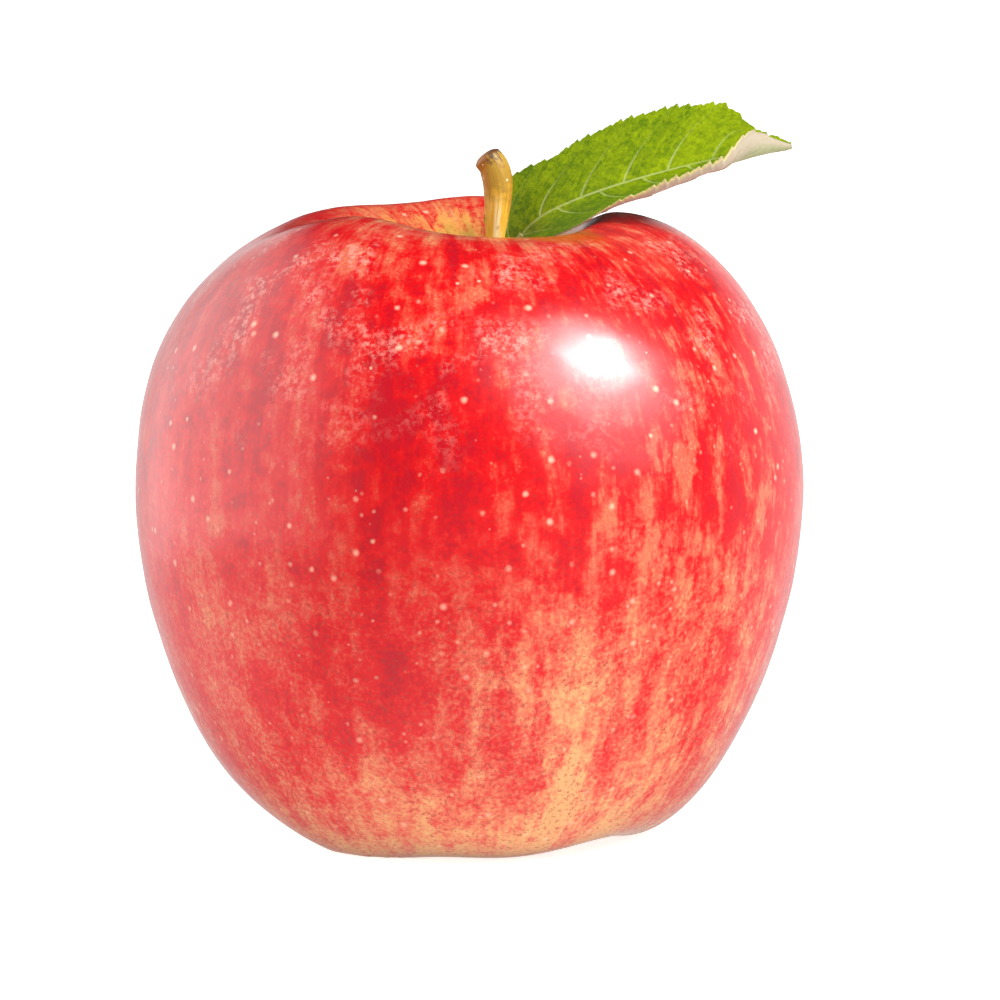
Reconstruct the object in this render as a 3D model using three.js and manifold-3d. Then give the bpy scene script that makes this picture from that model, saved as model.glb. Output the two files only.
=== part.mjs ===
// A red eating apple, picked with its stem and one leaf, standing on the lobes round its calyx.
// Millimetres, +Z up. The front of the fruit faces -Y, and an azimuth is counted from the front
// towards the right, +X. The origin is under the middle of the fruit, on the surface it stands on.
import * as THREE from "three";
import { mergeVertices } from "three/addons/utils/BufferGeometryUtils.js";
import Module from "manifold-3d";

// Fruit: its outline is four Bezier stretches, joined at the crest of the shoulders, the belly
// and the foot.
const FRUIT_WIDTH = 76;
const FRUIT_HEIGHT = 71.6; // to the crest of the shoulders
const BELLY_RADIUS = FRUIT_WIDTH / 2;
const BELLY_HEIGHT = 39.7;
const CREST_RADIUS = 16.8;
const FOOT_RADIUS = 17.5;
const CAVITY_DEPTH = 15; // the funnel round the stem
const CAVITY_SHIFT = 2.3; // the funnel's floor lies a little to the right of the fruit's middle
const BASIN_DEPTH = 7.4; // the hollow round the calyx
const SHOULDER_LEAN = -0.6; // the shoulders lie a little to the left of the belly

// Bezier handles, as shares of the stretch that they shape.
const FUNNEL_SPREAD = 0.2;
const FUNNEL_RISE = 0.3;
const CREST_INNER = 0.23;
const SHOULDER_FULLNESS = 0.57;
const SIDE_FULLNESS = 0.53;
const TAPER_FULLNESS = 0.42;
const FOOT_FULLNESS = 0.52;
const FOOT_INNER = 0.3;
const BASIN_SPREAD = 0.2;

const FRUIT_SIDES = 72;
const STRETCH_STEPS = { cavity: 9, shoulder: 12, taper: 13, basin: 8 };

// Five lobes, by their azimuth in degrees, and how much each lifts the shoulders and presses the foot down.
const LOBES = [
  { azimuth: -43, shoulder: 0.86, foot: 1.15 },
  { azimuth: 16, shoulder: 0.15, foot: 0.85 },
  { azimuth: 88, shoulder: 0.78, foot: 1.0 },
  { azimuth: 173, shoulder: 1.0, foot: 0.95 },
  { azimuth: 230, shoulder: 0.72, foot: 1.0 },
];
const LOBE_TIGHTNESS = 6;
const SHOULDER_RELIEF = 3.2;
const SHOULDER_REACH = 25.8; // how far below the crest the lobes still show
const FOOT_RELIEF = 3.0;
const FOOT_REACH = 13.7; // how far above the foot they still show
const RELIEF_START = 0.2; // the share of the crest's or foot's radius inside which the hollows are round
const RESTING_FLAT = 0.22; // the fruit is pressed flat by this much where it stands on its lobes

// Stem: a stalk that thickens upwards into a slanted scar.
const STEM_FOOT_RADIUS = 0.9;
const STEM_HEAD_RADIUS = 1.72;
const STEM_HOLE_DEPTH = 5;
const STEM_FLARE = { from: 0.5, to: 0.92 }; // shares of the length between which it thickens
const STEM_SIDES = 20;
const STEM_STEPS = 20;
const SCAR_ROUNDING = 0.1; // how much the stem narrows again at the scar's edge
const SCAR_DOME = 0.5; // how far the scar bulges
const DOME_SHARE = 0.6; // of the scar's radius, over which the bulge is flat

// Leaf: a blade folded along its rib, with forward-pointing teeth, on a short stalk.
const LEAF_HALF_WIDTH = 8.1;
const LEAF_OUTLINE = {
  baseRoundness: 0.7, // powers of the distances from base and tip in the blade's width
  tipRoundness: 0.5,
  tipStart: { far: 0.8, near: 0.86 }, // shares of the length at which the two sides draw in to the tip
  tipLength: 0.14,
  tipWidth: 0.4, // what is left of the width there
  ear: 2.8, // how far the far half bulges out behind the stem
};
// How the blade lies across its rib, in degrees above the line to the front of the fruit.
const LEAF_BEND = {
  far: -50, // the far half stands up behind the rib
  farCurl: -12, // more of that at its margin
  near: -31, // the near half droops at the base
  levelling: 14, // less so from the middle on
  lift: 8, // and less again towards the tip
  nearCurl: 14, // its margin turns up
  tipRoll: 120, // and rolls up at the tip until it shows its underside
  curlPower: 1.2, // how much of the curl and the roll is kept for the margin
};
// Shares of the blade's length between which each change comes about.
const LEAF_CHANGES = {
  levelling: [0.15, 0.5],
  lift: [0.5, 0.8],
  tipRoll: [0.77, 0.94],
  earBegins: [0, 0.08],
  earEnds: [0.08, 0.3],
  firstTeeth: [0.03, 0.12],
  lastTeeth: [0.9, 1],
};
const LEAF_THICKNESS = 0.6;
const LEAF_RIB_DEPTH = 0.55; // how far the rib stands out under the blade
const LEAF_RIB_TAPER = 0.8; // how much of that is lost by the tip
const LEAF_RIB_SPREAD = 0.09; // of the half width
const LEAF_FOLD_SPREAD = 0.16; // of the half width
const LEAF_TEETH = 28; // on each margin
const TOOTH_DEPTH = 0.45;
const STEPS_PER_TOOTH = 3;
const BLADE_ROWS = 12;
const STALK_RADIUS = 0.62;
const STALK_FLARE = 1.15; // at its foot
const STALK_TAPER = 0.8; // where it has gone over into the rib
const STALK_REACH = 0.1; // the share of the blade that it runs along
const STALK_SIDES = 12;
const STALK_STEPS = 12;

// Calyx: the five dried sepals of the flower, on a plug in the floor of the basin.
const CALYX_RADIUS = 2.9;
const CALYX_PLUG_DEPTH = 3;
const CALYX_SIDES = 20;
const SEPAL_COUNT = 5;
const SEPAL_GRID = { along: 6, across: 4 };
const SEPAL_LENGTH = 6.2;
const SEPAL_WIDTH = 2.9;
const SEPAL_THICKNESS = 0.7;
const SEPAL_TAPER = 0.86; // how much of its width is lost by the tip
const SEPAL_POINT = 1.4; // the power by which it draws in to its tip
const SEPAL_ROOT = 0.9; // how far inside the plug's edge, and above the basin's floor, a sepal starts
const SEPAL_LEAN = 1.5; // how far its middle leans in
const SEPAL_FLARE = 2.2; // how far its tip curls out again
const SEPAL_CUP = 0.35; // how far its sides bend out
const PLUG_DOME = 0.2;

const CLEARANCE = 0.3; // between pieces that meet
const CAVITY_FLOOR = FRUIT_HEIGHT - CAVITY_DEPTH;

const wasm = await Module();
wasm.setup();

const radians = THREE.MathUtils.degToRad;
const { lerp, smoothstep } = THREE.MathUtils;

// One closed surface from a three.js geometry: shared points are merged and collapsed faces dropped.
function closed(geometry) {
  const bare = geometry.clone();
  bare.deleteAttribute("normal");
  bare.deleteAttribute("uv");
  const merged = mergeVertices(bare, 1e-4);
  const faces = [];
  for (let i = 0; i < merged.index.count; i += 3) {
    const [a, b, c] = [0, 1, 2].map((k) => merged.index.getX(i + k));
    if (a !== b && b !== c && c !== a) faces.push(a, b, c);
  }
  return merged.setIndex(faces);
}

function solidFrom(geometry) {
  return new wasm.Manifold(
    new wasm.Mesh({
      numProp: 3,
      vertProperties: new Float32Array(geometry.attributes.position.array),
      triVerts: new Uint32Array(geometry.index.array),
    }),
  );
}

function fused(geometries) {
  const joined = geometries.map((g) => solidFrom(closed(g))).reduce((a, b) => a.add(b));
  const mesh = joined.getMesh();
  return new THREE.BufferGeometry()
    .setAttribute("position", new THREE.BufferAttribute(mesh.vertProperties, mesh.numProp))
    .setIndex(new THREE.BufferAttribute(mesh.triVerts, 1));
}

function movePoints(geometry, move) {
  const position = geometry.attributes.position;
  const point = new THREE.Vector3();
  for (let i = 0; i < position.count; i++) {
    move(point.fromBufferAttribute(position, i), i);
    position.setXYZ(i, point.x, point.y, point.z);
  }
  return geometry;
}

// Where a route has got to at a share of its length: along it, above it and towards the front of the fruit.
function stationOn(route, share) {
  const along = route.getTangentAt(share);
  const above = new THREE.Vector3().crossVectors(along, new THREE.Vector3(0, 1, 0)).normalize();
  const front = new THREE.Vector3().crossVectors(along, above);
  return { point: route.getPointAt(share), along, above, front };
}

function routeThrough(points) {
  return new THREE.CatmullRomCurve3(
    points.map((p) => new THREE.Vector3(...p)),
    false,
    "centripetal",
  );
}

// A round stalk along a route. radiusAt gives its radius at a share of the length, and its end bulges
// by endDome.
function stalk(route, radiusAt, sides, steps, endDome = 0) {
  const outline = [new THREE.Vector2(0, 0)];
  for (let i = 0; i <= steps; i++) outline.push(new THREE.Vector2(radiusAt(i / steps), i / steps));
  outline.push(new THREE.Vector2(radiusAt(1) * DOME_SHARE, 1), new THREE.Vector2(0, 1));
  const domePoints = [outline.length - 2, outline.length - 1];
  return movePoints(new THREE.LatheGeometry(outline, sides), (p, i) => {
    const { point, along, above, front } = stationOn(route, p.y);
    const bulge = domePoints.includes(i % outline.length) ? endDome : 0;
    const [across, forward] = [p.x, p.z];
    p.copy(point).addScaledVector(above, -across).addScaledVector(front, forward);
    p.addScaledVector(along, bulge);
  });
}

// A closed sheet: a grid of points, two faces set apart along the grid's normals, and a rim that
// joins them.
// pointAt and thicknessAt take the shares along and across the sheet.
function thickSheet(columns, rows, pointAt, thicknessAt) {
  const grid = new THREE.PlaneGeometry(1, 1, columns, rows);
  const shares = [];
  movePoints(grid, (p) => {
    shares.push([p.x + 0.5, 0.5 - p.y]);
    p.copy(pointAt(...shares.at(-1)));
  });
  grid.computeVertexNormals();
  const { position, normal } = grid.attributes;
  const faces = Array.from(grid.index.array);
  const points = [[], []];
  shares.forEach((share, i) => {
    const n = new THREE.Vector3().fromBufferAttribute(normal, i);
    const p = new THREE.Vector3().fromBufferAttribute(position, i);
    const { above, below } = thicknessAt(...share);
    points[0].push(...p.clone().addScaledVector(n, above));
    points[1].push(...p.clone().addScaledVector(n, -below));
  });
  const under = position.count;
  const edges = new Set();
  const all = [];
  for (let i = 0; i < faces.length; i += 3) {
    const [a, b, c] = faces.slice(i, i + 3);
    all.push(a, b, c, under + c, under + b, under + a);
    [[a, b], [b, c], [c, a]].forEach(([from, to]) => edges.add(`${from} ${to}`));
  }
  for (const edge of edges) {
    const [from, to] = edge.split(" ").map(Number);
    if (edges.has(`${to} ${from}`)) continue;
    all.push(to, from, under + from, to, under + from, under + to);
  }
  return new THREE.BufferGeometry()
    .setAttribute("position", new THREE.Float32BufferAttribute(points.flat(), 3))
    .setIndex(all);
}

// How deep the valleys between the lobes are at an azimuth, by the lobes' weights at the shoulder
// or the foot.
function valleyAt(azimuth, end) {
  const ridge = (lobe) => Math.exp(LOBE_TIGHTNESS * (Math.cos(azimuth - radians(lobe.azimuth)) - 1));
  return 1 - LOBES.reduce((sum, lobe) => sum + lobe[end] * ridge(lobe), 0);
}

function fruitOutline() {
  const point = (radius, height) => new THREE.Vector2(radius, height);
  const stemHole = STEM_FOOT_RADIUS + CLEARANCE;
  const calyxHole = CALYX_RADIUS + CLEARANCE;
  const sideRise = FRUIT_HEIGHT - BELLY_HEIGHT;
  const shoulderRun = BELLY_RADIUS - CREST_RADIUS;
  const taperRun = BELLY_RADIUS - FOOT_RADIUS;
  const cavity = new THREE.CubicBezierCurve(
    point(stemHole, CAVITY_FLOOR),
    point(stemHole + FUNNEL_SPREAD * CREST_RADIUS, CAVITY_FLOOR + FUNNEL_RISE * CAVITY_DEPTH),
    point(CREST_RADIUS * (1 - CREST_INNER), FRUIT_HEIGHT),
    point(CREST_RADIUS, FRUIT_HEIGHT),
  );
  const shoulder = new THREE.CubicBezierCurve(
    point(CREST_RADIUS, FRUIT_HEIGHT),
    point(CREST_RADIUS + SHOULDER_FULLNESS * shoulderRun, FRUIT_HEIGHT),
    point(BELLY_RADIUS, BELLY_HEIGHT + SIDE_FULLNESS * sideRise),
    point(BELLY_RADIUS, BELLY_HEIGHT),
  );
  const taper = new THREE.CubicBezierCurve(
    point(BELLY_RADIUS, BELLY_HEIGHT),
    point(BELLY_RADIUS, BELLY_HEIGHT * (1 - TAPER_FULLNESS)),
    point(FOOT_RADIUS + FOOT_FULLNESS * taperRun, 0),
    point(FOOT_RADIUS, 0),
  );
  const basin = new THREE.CubicBezierCurve(
    point(FOOT_RADIUS, 0),
    point(FOOT_RADIUS * (1 - FOOT_INNER), 0),
    point(calyxHole + BASIN_SPREAD * FOOT_RADIUS, BASIN_DEPTH),
    point(calyxHole, BASIN_DEPTH),
  );
  return [
    point(0, CAVITY_FLOOR - STEM_HOLE_DEPTH),
    point(stemHole, CAVITY_FLOOR - STEM_HOLE_DEPTH),
    ...cavity.getPoints(STRETCH_STEPS.cavity),
    ...shoulder.getPoints(STRETCH_STEPS.shoulder).slice(1),
    ...taper.getPoints(STRETCH_STEPS.taper).slice(1),
    ...basin.getPoints(STRETCH_STEPS.basin).slice(1),
    point(calyxHole, BASIN_DEPTH + CALYX_PLUG_DEPTH),
    point(0, BASIN_DEPTH + CALYX_PLUG_DEPTH),
  ].reverse();
}

// Turns a point of the plain round fruit into one of the lobed fruit.
function shapeFruit(p) {
  const radius = Math.hypot(p.x, p.y);
  const azimuth = Math.atan2(p.x, -p.y);
  const rim = p.z > BELLY_HEIGHT ? CREST_RADIUS : FOOT_RADIUS;
  const outOfHollow = smoothstep(radius, RELIEF_START * rim, rim);
  const shoulder = outOfHollow * smoothstep(p.z, FRUIT_HEIGHT - SHOULDER_REACH, FRUIT_HEIGHT);
  const foot = outOfHollow * Math.max(1 - p.z / FOOT_REACH, 0) ** 2;
  const lean = SHOULDER_LEAN * smoothstep(p.z, BELLY_HEIGHT, FRUIT_HEIGHT);
  const lowering = SHOULDER_RELIEF * valleyAt(azimuth, "shoulder") * shoulder;
  const raising = FOOT_RELIEF * valleyAt(azimuth, "foot") * foot;
  if (p.z > BELLY_HEIGHT) p.x += lerp(CAVITY_SHIFT, lean, outOfHollow);
  p.z = Math.max(p.z - lowering + raising - RESTING_FLAT * foot, 0);
}

function fruitGeometry() {
  const round = new THREE.LatheGeometry(fruitOutline(), FRUIT_SIDES).rotateX(Math.PI / 2);
  return closed(movePoints(round, shapeFruit));
}

// The stem leans out of the funnel and bends to the left at its head.
const STEM_ROUTE = routeThrough([
  [CAVITY_SHIFT, 0, CAVITY_FLOOR - STEM_HOLE_DEPTH + CLEARANCE],
  [CAVITY_SHIFT, 0, CAVITY_FLOOR],
  [2.6, 0, 64.5],
  [2.95, 0, 68.3],
  [3.25, 0, 72.4],
  [3.2, 0, 74.4],
  [2.75, 0, 76.1],
  [2.0, 0, 77.1],
]);

function stemGeometry() {
  const radiusAt = (share) =>
    lerp(STEM_FOOT_RADIUS, STEM_HEAD_RADIUS, smoothstep(share, STEM_FLARE.from, STEM_FLARE.to)) -
    SCAR_ROUNDING * smoothstep(share, STEM_FLARE.to, 1);
  return closed(stalk(STEM_ROUTE, radiusAt, STEM_SIDES, STEM_STEPS, SCAR_DOME));
}

// The rib of the leaf: from the stalk's foot in the funnel, behind the stem, over the right shoulder.
const LEAF_FOOT = [4.3, 2.3, 61.6];
const BLADE_BASE = [4.6, 2.1, 65.0];
const BLADE_ROUTE = routeThrough([
  BLADE_BASE,
  [6.2, 1.6, 68.4],
  [8.4, 1.0, 70.4],
  [12.5, 0.2, 72.4],
  [19.2, -0.8, 74.7],
  [29.0, -1.6, 77.2],
  [36.4, -2.0, 78.4],
]);

const changedBy = (share, change) => smoothstep(share, ...LEAF_CHANGES[change]);

// The half width of one side of the blade at a share of its length. It narrows quickly near the tip.
function bladeHalfWidth(share, side) {
  const { baseRoundness, tipRoundness, tipStart, tipLength, tipWidth } = LEAF_OUTLINE;
  const bulge = changedBy(share, "earBegins") * (1 - changedBy(share, "earEnds"));
  const ear = side === "far" ? LEAF_OUTLINE.ear * bulge : 0;
  const curve = (s) => s ** baseRoundness * (1 - s) ** tipRoundness;
  const widest = baseRoundness / (baseRoundness + tipRoundness);
  const narrowed = lerp(1, tipWidth, smoothstep(share, tipStart[side], tipStart[side] + tipLength));
  return Math.max((LEAF_HALF_WIDTH * narrowed * curve(share)) / curve(widest), STALK_RADIUS) + ear;
}

function toothAt(share) {
  const within = (share * LEAF_TEETH) % 1;
  return TOOTH_DEPTH * within * changedBy(share, "firstTeeth") * (1 - changedBy(share, "lastTeeth"));
}

// The slope of the blade across its width, in radians, in the plane square to the rib.
// across runs from -1 at the far margin, over the rib at 0, to 1 at the near margin.
function bladeSlope(share, across) {
  const levelled = LEAF_BEND.levelling * changedBy(share, "levelling");
  const level = levelled + LEAF_BEND.lift * changedBy(share, "lift");
  const curl = lerp(LEAF_BEND.nearCurl, LEAF_BEND.tipRoll, changedBy(share, "tipRoll"));
  const far = LEAF_BEND.far + LEAF_BEND.farCurl * Math.max(-across, 0);
  const near = LEAF_BEND.near + level + curl * Math.max(across, 0) ** LEAF_BEND.curlPower;
  const fold = 0.5 + 0.5 * Math.tanh(across / LEAF_FOLD_SPREAD);
  return radians(lerp(far, near, fold));
}

const SLOPE_STEPS = 16; // for walking out from the rib along the blade's slope

function bladePoint(share, widthShare) {
  const { point, above, front } = stationOn(BLADE_ROUTE, share);
  const across = 2 * widthShare - 1;
  const halfWidth = bladeHalfWidth(share, across < 0 ? "far" : "near");
  const step = across / SLOPE_STEPS;
  const offset = new THREE.Vector2();
  for (let i = 0; i < SLOPE_STEPS; i++) {
    const slope = bladeSlope(share, (i + 0.5) * step);
    offset.x += Math.cos(slope) * step * halfWidth;
    offset.y += Math.sin(slope) * step * halfWidth;
  }
  if (widthShare === 0 || widthShare === 1) {
    const slope = bladeSlope(share, across);
    const out = Math.sign(across) * toothAt(share);
    offset.x += Math.cos(slope) * out;
    offset.y += Math.sin(slope) * out;
  }
  return point.addScaledVector(front, offset.x).addScaledVector(above, offset.y);
}

function bladeThickness(share, widthShare) {
  const across = 2 * widthShare - 1;
  const rib = LEAF_RIB_DEPTH * Math.exp(-((across / LEAF_RIB_SPREAD) ** 2)) * (1 - LEAF_RIB_TAPER * share);
  return { above: LEAF_THICKNESS / 2, below: LEAF_THICKNESS / 2 + rib };
}

function leafGeometry() {
  const blade = thickSheet(LEAF_TEETH * STEPS_PER_TOOTH, BLADE_ROWS, bladePoint, bladeThickness);
  const stalkRoute = routeThrough([LEAF_FOOT, BLADE_BASE, BLADE_ROUTE.getPointAt(STALK_REACH).toArray()]);
  const radiusAt = (share) => STALK_RADIUS * lerp(STALK_FLARE, STALK_TAPER, share);
  return fused([blade, stalk(stalkRoute, radiusAt, STALK_SIDES, STALK_STEPS)]);
}

// One dried sepal, which hangs from the plug's edge, leans in over the middle and curls out at its tip.
function sepalPoint(share, widthShare) {
  const across = 2 * widthShare - 1;
  const halfWidth = 0.5 * SEPAL_WIDTH * (1 - SEPAL_TAPER * share ** SEPAL_POINT);
  const out = CALYX_RADIUS - SEPAL_ROOT - SEPAL_LEAN * Math.sin(Math.PI * share) + SEPAL_FLARE * share ** 3;
  const height = BASIN_DEPTH + SEPAL_ROOT - SEPAL_LENGTH * share;
  return new THREE.Vector3(across * halfWidth, -out - SEPAL_CUP * across ** 2, height);
}

function calyxGeometry() {
  const floor = BASIN_DEPTH + CALYX_PLUG_DEPTH - CLEARANCE;
  const plugOutline = [
    new THREE.Vector2(0, BASIN_DEPTH - PLUG_DOME),
    new THREE.Vector2(CALYX_RADIUS, BASIN_DEPTH + PLUG_DOME),
    new THREE.Vector2(CALYX_RADIUS, floor),
    new THREE.Vector2(0, floor),
  ];
  const plug = new THREE.LatheGeometry(plugOutline, CALYX_SIDES).rotateX(Math.PI / 2);
  const half = SEPAL_THICKNESS / 2;
  const thickness = () => ({ above: half, below: half });
  const sepals = Array.from({ length: SEPAL_COUNT }, (_, i) => {
    const sepal = thickSheet(SEPAL_GRID.along, SEPAL_GRID.across, sepalPoint, thickness);
    return sepal.rotateZ((i * 2 * Math.PI) / SEPAL_COUNT);
  });
  return fused([plug, ...sepals]);
}

function piece(name, geometry, colour, roughness) {
  const material = new THREE.MeshStandardMaterial({ color: colour, roughness, metalness: 0 });
  const mesh = new THREE.Mesh(geometry, material);
  mesh.name = name;
  return mesh;
}

const apple = new THREE.Group();
apple.name = "apple";
apple.add(
  piece("fruit", fruitGeometry(), 0xd8222a, 0.35),
  piece("stem", stemGeometry(), 0xa9792f, 0.6),
  piece("leaf", leafGeometry(), 0x6f9c1c, 0.5),
  piece("calyx", calyxGeometry(), 0x5b4128, 0.9),
);

export default apple;
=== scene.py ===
"""A red apple with its stem and one leaf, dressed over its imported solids.

Lengths are in metres and +Z is up. The camera looks along +Y, and an azimuth is counted
in degrees from the front of the fruit, -Y, towards its right, +X.
"""

import logging
import math
from dataclasses import dataclass, field
from enum import Enum
from functools import reduce

import bmesh
import bpy
import numpy as np
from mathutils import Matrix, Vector


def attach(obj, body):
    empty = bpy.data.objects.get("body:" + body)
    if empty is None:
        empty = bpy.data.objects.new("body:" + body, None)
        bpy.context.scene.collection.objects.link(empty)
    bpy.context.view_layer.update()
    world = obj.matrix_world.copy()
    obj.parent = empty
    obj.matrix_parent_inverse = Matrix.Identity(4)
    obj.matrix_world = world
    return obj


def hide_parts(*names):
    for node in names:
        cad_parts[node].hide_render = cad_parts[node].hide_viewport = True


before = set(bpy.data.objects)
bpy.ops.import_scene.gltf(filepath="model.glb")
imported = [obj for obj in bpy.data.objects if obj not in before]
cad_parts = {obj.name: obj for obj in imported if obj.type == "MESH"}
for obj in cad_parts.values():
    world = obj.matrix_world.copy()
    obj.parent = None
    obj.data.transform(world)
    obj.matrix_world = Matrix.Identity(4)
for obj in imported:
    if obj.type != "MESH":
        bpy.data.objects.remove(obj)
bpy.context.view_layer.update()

BODY = "root"
MM = 0.001

Colour = tuple[float, float, float]
Point = tuple[float, float, float]
Span = tuple[float, float]
Stop = tuple[float, float]
Socket = bpy.types.NodeSocket
Feed = Socket | float | int | tuple[float, ...]

log = logging.getLogger("apple")


class Slot(Enum):
    """The names of the material slots."""

    SKIN = "skin"
    STEM = "stem"
    LEAF = "leaf"
    CALYX = "calyx"


class Half(Enum):
    """The two halves of the leaf's blade, by the sign of the place across it."""

    FAR = -1
    NEAR = 1


class End(Enum):
    """The two ends of the fruit that its lobes shape."""

    SHOULDER = "shoulder"
    FOOT = "foot"


class LampShape(Enum):
    """The outlines of a studio light."""

    BOX = "RECTANGLE"
    ROUND = "ELLIPSE"


def smoothstep(value: np.ndarray | float, start: float, end: float) -> np.ndarray:
    """A smooth rise from 0 at start to 1 at end."""
    share = np.clip((np.asarray(value, float) - start) / (end - start), 0.0, 1.0)
    return share * share * (3.0 - 2.0 * share)


def unit(vectors: np.ndarray) -> np.ndarray:
    """Vectors of the same directions with the length 1."""
    return vectors / np.linalg.norm(vectors, axis=-1, keepdims=True)


def heading(azimuth: float) -> Point:
    """The level direction at an azimuth in radians."""
    return (math.sin(azimuth), -math.cos(azimuth), 0.0)


def rgba(colour: Colour) -> tuple[float, float, float, float]:
    """A colour with full opacity, as colour sockets take it."""
    return (*colour, 1.0)


# Node trees


class NodeBench:
    """Adds nodes to one tree and links them."""

    def __init__(self, tree: bpy.types.NodeTree) -> None:
        """Keeps the tree that the nodes go into."""
        self.tree = tree

    def add(self, kind: str, **settings: object) -> bpy.types.Node:
        """Adds a node.

        Args:
            kind: The node's type.
            **settings: Properties of the node.

        Returns:
            The node.
        """
        node = self.tree.nodes.new(kind)
        for name, value in settings.items():
            setattr(node, name, value)
        return node

    def feed(self, inlet: Socket, value: Feed) -> None:
        """Links an output to an input, or sets the input's own value."""
        if isinstance(value, bpy.types.NodeSocket):
            self.tree.links.new(value, inlet)
        else:
            inlet.default_value = value

    def fill(self, node: bpy.types.Node, **inputs: Feed) -> bpy.types.Node:
        """Feeds a node's inputs by name, with _ for each space of a name, and returns the node."""
        for name, value in inputs.items():
            self.feed(node.inputs[name.replace("_", " ")], value)
        return node

    def math(self, operation: str, *values: Feed) -> Socket:
        """The result of a sum on numbers."""
        node = self.add("ShaderNodeMath", operation=operation)
        for inlet, value in zip(node.inputs, values):
            self.feed(inlet, value)
        return node.outputs[0]

    def chained(self, operation: str, values: tuple[Feed, ...]) -> Socket:
        """The result of the same sum on number after number."""
        return reduce(lambda so_far, value: self.math(operation, so_far, value), values)

    def total(self, *values: Feed) -> Socket:
        """The sum of several numbers."""
        return self.chained("ADD", values)

    def times(self, *values: Feed) -> Socket:
        """The product of several numbers."""
        return self.chained("MULTIPLY", values)

    def most(self, *values: Feed) -> Socket:
        """The largest of several numbers."""
        return self.chained("MAXIMUM", values)

    def vector(self, operation: str, *values: Feed) -> Socket:
        """The result of a sum on vectors: a number where the operation gives one."""
        node = self.add("ShaderNodeVectorMath", operation=operation)
        for inlet, value in zip(node.inputs, values):
            self.feed(inlet, value)
        return node.outputs["Value" if operation in ("DOT_PRODUCT", "LENGTH", "DISTANCE") else "Vector"]

    def scaled(self, vector: Feed, factor: Feed) -> Socket:
        """A vector times a number."""
        node = self.add("ShaderNodeVectorMath", operation="SCALE")
        self.feed(node.inputs[0], vector)
        self.feed(node.inputs["Scale"], factor)
        return node.outputs["Vector"]

    def combine(self, x: Feed, y: Feed, z: Feed) -> Socket:
        """A vector from its three parts."""
        return self.fill(self.add("ShaderNodeCombineXYZ"), X=x, Y=y, Z=z).outputs[0]

    def split(self, vector: Socket) -> tuple[Socket, Socket, Socket]:
        """The three parts of a vector."""
        outputs = self.fill(self.add("ShaderNodeSeparateXYZ"), Vector=vector).outputs
        return outputs[0], outputs[1], outputs[2]

    def smooth(self, value: Feed, start: Feed, end: Feed, low: Feed = 0.0, high: Feed = 1.0) -> Socket:
        """A smooth change from low at start to high at end."""
        node = self.add("ShaderNodeMapRange", interpolation_type="SMOOTHSTEP")
        self.fill(node, Value=value, From_Min=start, From_Max=end, To_Min=low, To_Max=high)
        return node.outputs[0]

    def noise(self, vector: Socket, scale: float, detail: float = 2.0, roughness: float = 0.5) -> Socket:
        """Soft noise from 0 to 1 round 0.5."""
        node = self.add("ShaderNodeTexNoise")
        self.fill(node, Vector=vector, Scale=scale, Detail=detail, Roughness=roughness)
        return node.outputs[0]

    def stretched(self, vector: Socket, round_scale: float, along_scale: float) -> Socket:
        """Places for a pattern that is drawn out along a turned piece.

        Args:
            vector: Sine and cosine of the turn, and the share of the outline.
            round_scale: How often the pattern changes over one radius.
            along_scale: How often it changes over the whole outline.

        Returns:
            The vector to read the pattern at.
        """
        return self.vector("MULTIPLY", vector, (round_scale, round_scale, along_scale))

    def swing(self, value: Socket, amount: Feed) -> Socket:
        """Noise from 0 to 1 turned into a change of up to amount either way."""
        return self.times(self.math("MULTIPLY_ADD", value, 2.0, -1.0), amount)


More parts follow.
